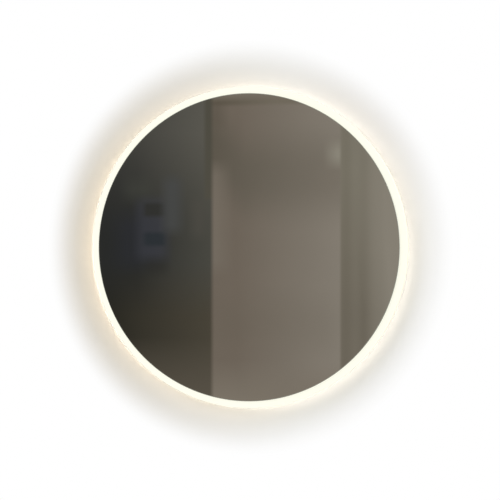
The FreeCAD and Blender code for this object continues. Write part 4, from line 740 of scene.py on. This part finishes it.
def plain_wall(tree, places):
    """The taupe wall opposite: lighter to the right, with a soft slanting shade and a light spot by the
    jamb."""
    foot_part, shade_half, shadow_part = (-0.21, -0.28), (0.01, 0.11), (-0.05, 0.06)
    across, up = places
    level = tones_along(tree, across, DOORWAY_EDGE + 0.05, JAMB_EDGE, "#70655B", "#867D73")
    wall = tones_along(tree, up, *foot_part, level, "#7D7368")
    slant = add(tree, "MapRange", {"Value": across, 1: -0.055, 2: 0.0, 3: 0.185, 4: 0.133})
    height = add(tree, "Math", {0: up, 1: slant.outputs[0]}, operation="SUBTRACT")
    aside = add(tree, "Math", {0: height.outputs[0]}, operation="ABSOLUTE")
    shade = tones_along(tree, across, DOORWAY_EDGE, JAMB_EDGE, "#5F574D", "#7A7167")
    shaded = tones_along(tree, aside.outputs[0], *shade_half, shade, wall, interpolation_type="SMOOTHSTEP")
    patched = patches(tree, places, shaded, ON_PLAIN_WALL)
    shadow = tones_along(tree, across, *shadow_part, "#5F564B", "#736A5E")
    above = across_edge(tree, up, LINTEL, LINTEL_SHADOW, shadow, "#786E63")
    return across_edge(tree, up, LINTEL, LINTEL_SOFT, patched, above)


def curtained_side(tree, places):
    """Beyond the jamb: a soft hanging with shallow folds, lighter above and towards the mirror's rim."""
    fold_part, late_part, lag = (-0.12, 0.14), (-0.12, 0.04), -0.013
    across, up = places
    folds = waves(tree, across, CURTAIN_FOLD, CURTAIN_CREST)
    low_fold = tones_along(tree, folds, -1.0, 1.0, "#6E665B", "#736B60")
    high_fold = tones_along(tree, folds, -1.0, 1.0, "#787165", "#7E776B")
    folded = tones_along(tree, up, *fold_part, low_fold, high_fold)
    late = add(tree, "MapRange", {"Value": up, 1: late_part[0], 2: late_part[1], 3: lag, 4: 0.0})
    shifted = add(tree, "Math", {0: across, 1: late.outputs[0]}, operation="ADD")
    return tones_along(tree, shifted.outputs[0], *CURTAIN_LIGHT, folded, "#898176")


def room_reflection(camera_place):
    """Soft upright bands of the room's tones, laid out by where the camera sees them on the glass."""
    made, tree, where = stage_material("dim_room")
    reach = (abs(ROOM_Y) + GLASS_FRONT) / (abs(camera_place.y) + GLASS_FRONT)
    scale = 1 / (1 + reach)
    on_glass = add(tree, "Mapping", {
        "Vector": where, "Scale": (scale, 1.0, scale),
        "Location": (camera_place.x * reach * scale, 0.0, camera_place.z * reach * scale - MIDDLE.z)})
    apart = add(tree, "SeparateXYZ", {0: on_glass.outputs[0]})
    across = apart.outputs["X"]
    places = across, apart.outputs["Z"]
    left_part = across_edge(tree, across, DOORWAY_EDGE, DOORWAY_SOFT,
                            dark_doorway(tree, places), plain_wall(tree, places))
    tones = across_edge(tree, across, JAMB_EDGE, JAMB_SOFT, left_part, curtained_side(tree, places))
    glow = add(tree, "Emission", {"Color": tones, "Strength": ROOM_GLOW})
    add(tree, "OutputMaterial", {"Surface": glow.outputs[0]})
    return made


def halo_emitter():
    """The light that the chamber throws sideways on the wall; it works as a lamp, so it is on the stage."""
    made, tree, where = stage_material("halo_light")
    around = add(tree, "MapRange", {"Value": lobe(tree, where, HALO_TURN, HALO_SPREAD),
                                    3: HALO_PLAIN, 4: HALO_STRONG})
    power = add(tree, "Math", {0: lobe(tree, where, HALO_FOOT_TURN, HALO_FOOT_SPREAD), 1: HALO_FOOT,
                               2: around.outputs[0]}, operation="MULTIPLY_ADD")
    outside = add(tree, "Math", {0: 1.0, 1: add(tree, "NewGeometry").outputs["Backfacing"]},
                  operation="SUBTRACT")
    strength = add(tree, "Math", {0: power.outputs[0], 1: outside.outputs[0]}, operation="MULTIPLY")
    glow = add(tree, "Emission", {"Color": linear("#FFF6E7"), "Strength": strength.outputs[0]})
    add(tree, "OutputMaterial", {"Surface": glow.outputs[0]})
    mesh = bpy.data.meshes.new("halo_light")
    bm = bmesh.new()
    radius = RING_R - HALO_IN
    lathe(bm, [(radius, -HALO_LOW), (radius, -HALO_HIGH)], (0, 0, MIDDLE.z), HALO_STEPS, closed=False)
    bm.to_mesh(mesh)
    bm.free()
    mesh.materials.append(made)
    halo = bpy.data.objects.new("halo_light", mesh)
    bpy.context.scene.collection.objects.link(halo)
    return halo


def soft_lamp(name, place, size, power, mirrored):
    """A square studio lamp turned to the mirror's middle."""
    lamp = bpy.data.lights.new(name, "AREA")
    lamp.shape, lamp.size, lamp.energy = "SQUARE", size, power
    holder = bpy.data.objects.new(name, lamp)
    bpy.context.scene.collection.objects.link(holder)
    holder.location = place
    aim = Vector((0, 0, MIDDLE.z)) - Vector(place)
    holder.rotation_euler = aim.to_track_quat("-Z", "Y").to_euler()
    holder.visible_camera = False
    holder.visible_glossy = mirrored


def white_world():
    """White to the camera and in reflections, an even grey for the light itself."""
    world = bpy.data.worlds.new("studio")
    bpy.context.scene.world = world
    world.use_nodes = True
    tree = world.node_tree
    tree.nodes.clear()
    light = add(tree, "Background", {"Color": (1, 1, 1, 1), "Strength": WORLD_LIGHT})
    white = add(tree, "Background", {"Color": (1, 1, 1, 1), "Strength": 1.0})
    mixed = add(tree, "MixShader", {0: seen_share(tree), 1: light.outputs[0], 2: white.outputs[0]})
    add(tree, "OutputWorld", {"Surface": mixed.outputs[0]})


# ---------------------------------------------------------------- camera and light
def make_camera():
    """The photograph's frame: the mirror's height sets the distance, its middle sets the aim."""
    metres_per_px = GLASS_R / DISC_HALF_HEIGHT_PX
    distance = IMAGE_PX * metres_per_px / (SENSOR / LENS)
    back = Vector((math.sin(CAMERA_YAW), -math.cos(CAMERA_YAW), 0))
    right = Vector((math.cos(CAMERA_YAW), math.sin(CAMERA_YAW), 0))
    shift_x = (IMAGE_PX / 2 - DISC_PX[0] + LEAN_PX[0]) * metres_per_px
    shift_z = (DISC_PX[1] - IMAGE_PX / 2 - LEAN_PX[1]) * metres_per_px
    face = Vector((0, GLASS_FRONT, MIDDLE.z))
    data = bpy.data.cameras.new("camera")
    data.lens, data.sensor_width = LENS, SENSOR
    data.clip_start, data.clip_end = 0.05, 50
    camera = bpy.data.objects.new("camera", data)
    bpy.context.scene.collection.objects.link(camera)
    camera.location = face + right * shift_x + Vector((0, 0, shift_z)) + back * distance
    camera.rotation_euler = (-back).to_track_quat("-Z", "Y").to_euler()
    bpy.context.scene.camera = camera
    return camera


camera = make_camera()
white_world()

facing_room = Matrix.Rotation(math.radians(90), 4, "X")
wall = stage_plane("wall", WALL_SIZE, Matrix.Translation((0, WALL_GAP, MIDDLE.z)) @ facing_room,
                   wall_plaster())
wall.visible_diffuse = False
wall.visible_glossy = False
wall.visible_transmission = False
wall.visible_shadow = False
stage_plane("floor", FLOOR_SIZE, Matrix.Translation((0, 0, -FLOOR_DROP)), pale_floor())
room = stage_plane("room", ROOM_SIZE, Matrix.Translation((0, ROOM_Y, 0)) @ facing_room,
                   room_reflection(camera.location))
halo = halo_emitter()
for unseen in (room, halo):
    unseen.visible_camera = False
    unseen.visible_shadow = False
room.visible_diffuse = False
halo.visible_glossy = False
halo_reach = bpy.data.collections.new("halo_reach")     # the halo lights the wall alone
halo_reach.objects.link(wall)
halo.light_linking.receiver_collection = halo_reach
for lamp_row in LAMPS:
    soft_lamp(*lamp_row)

bpy.context.scene.view_settings.view_transform = "Standard"
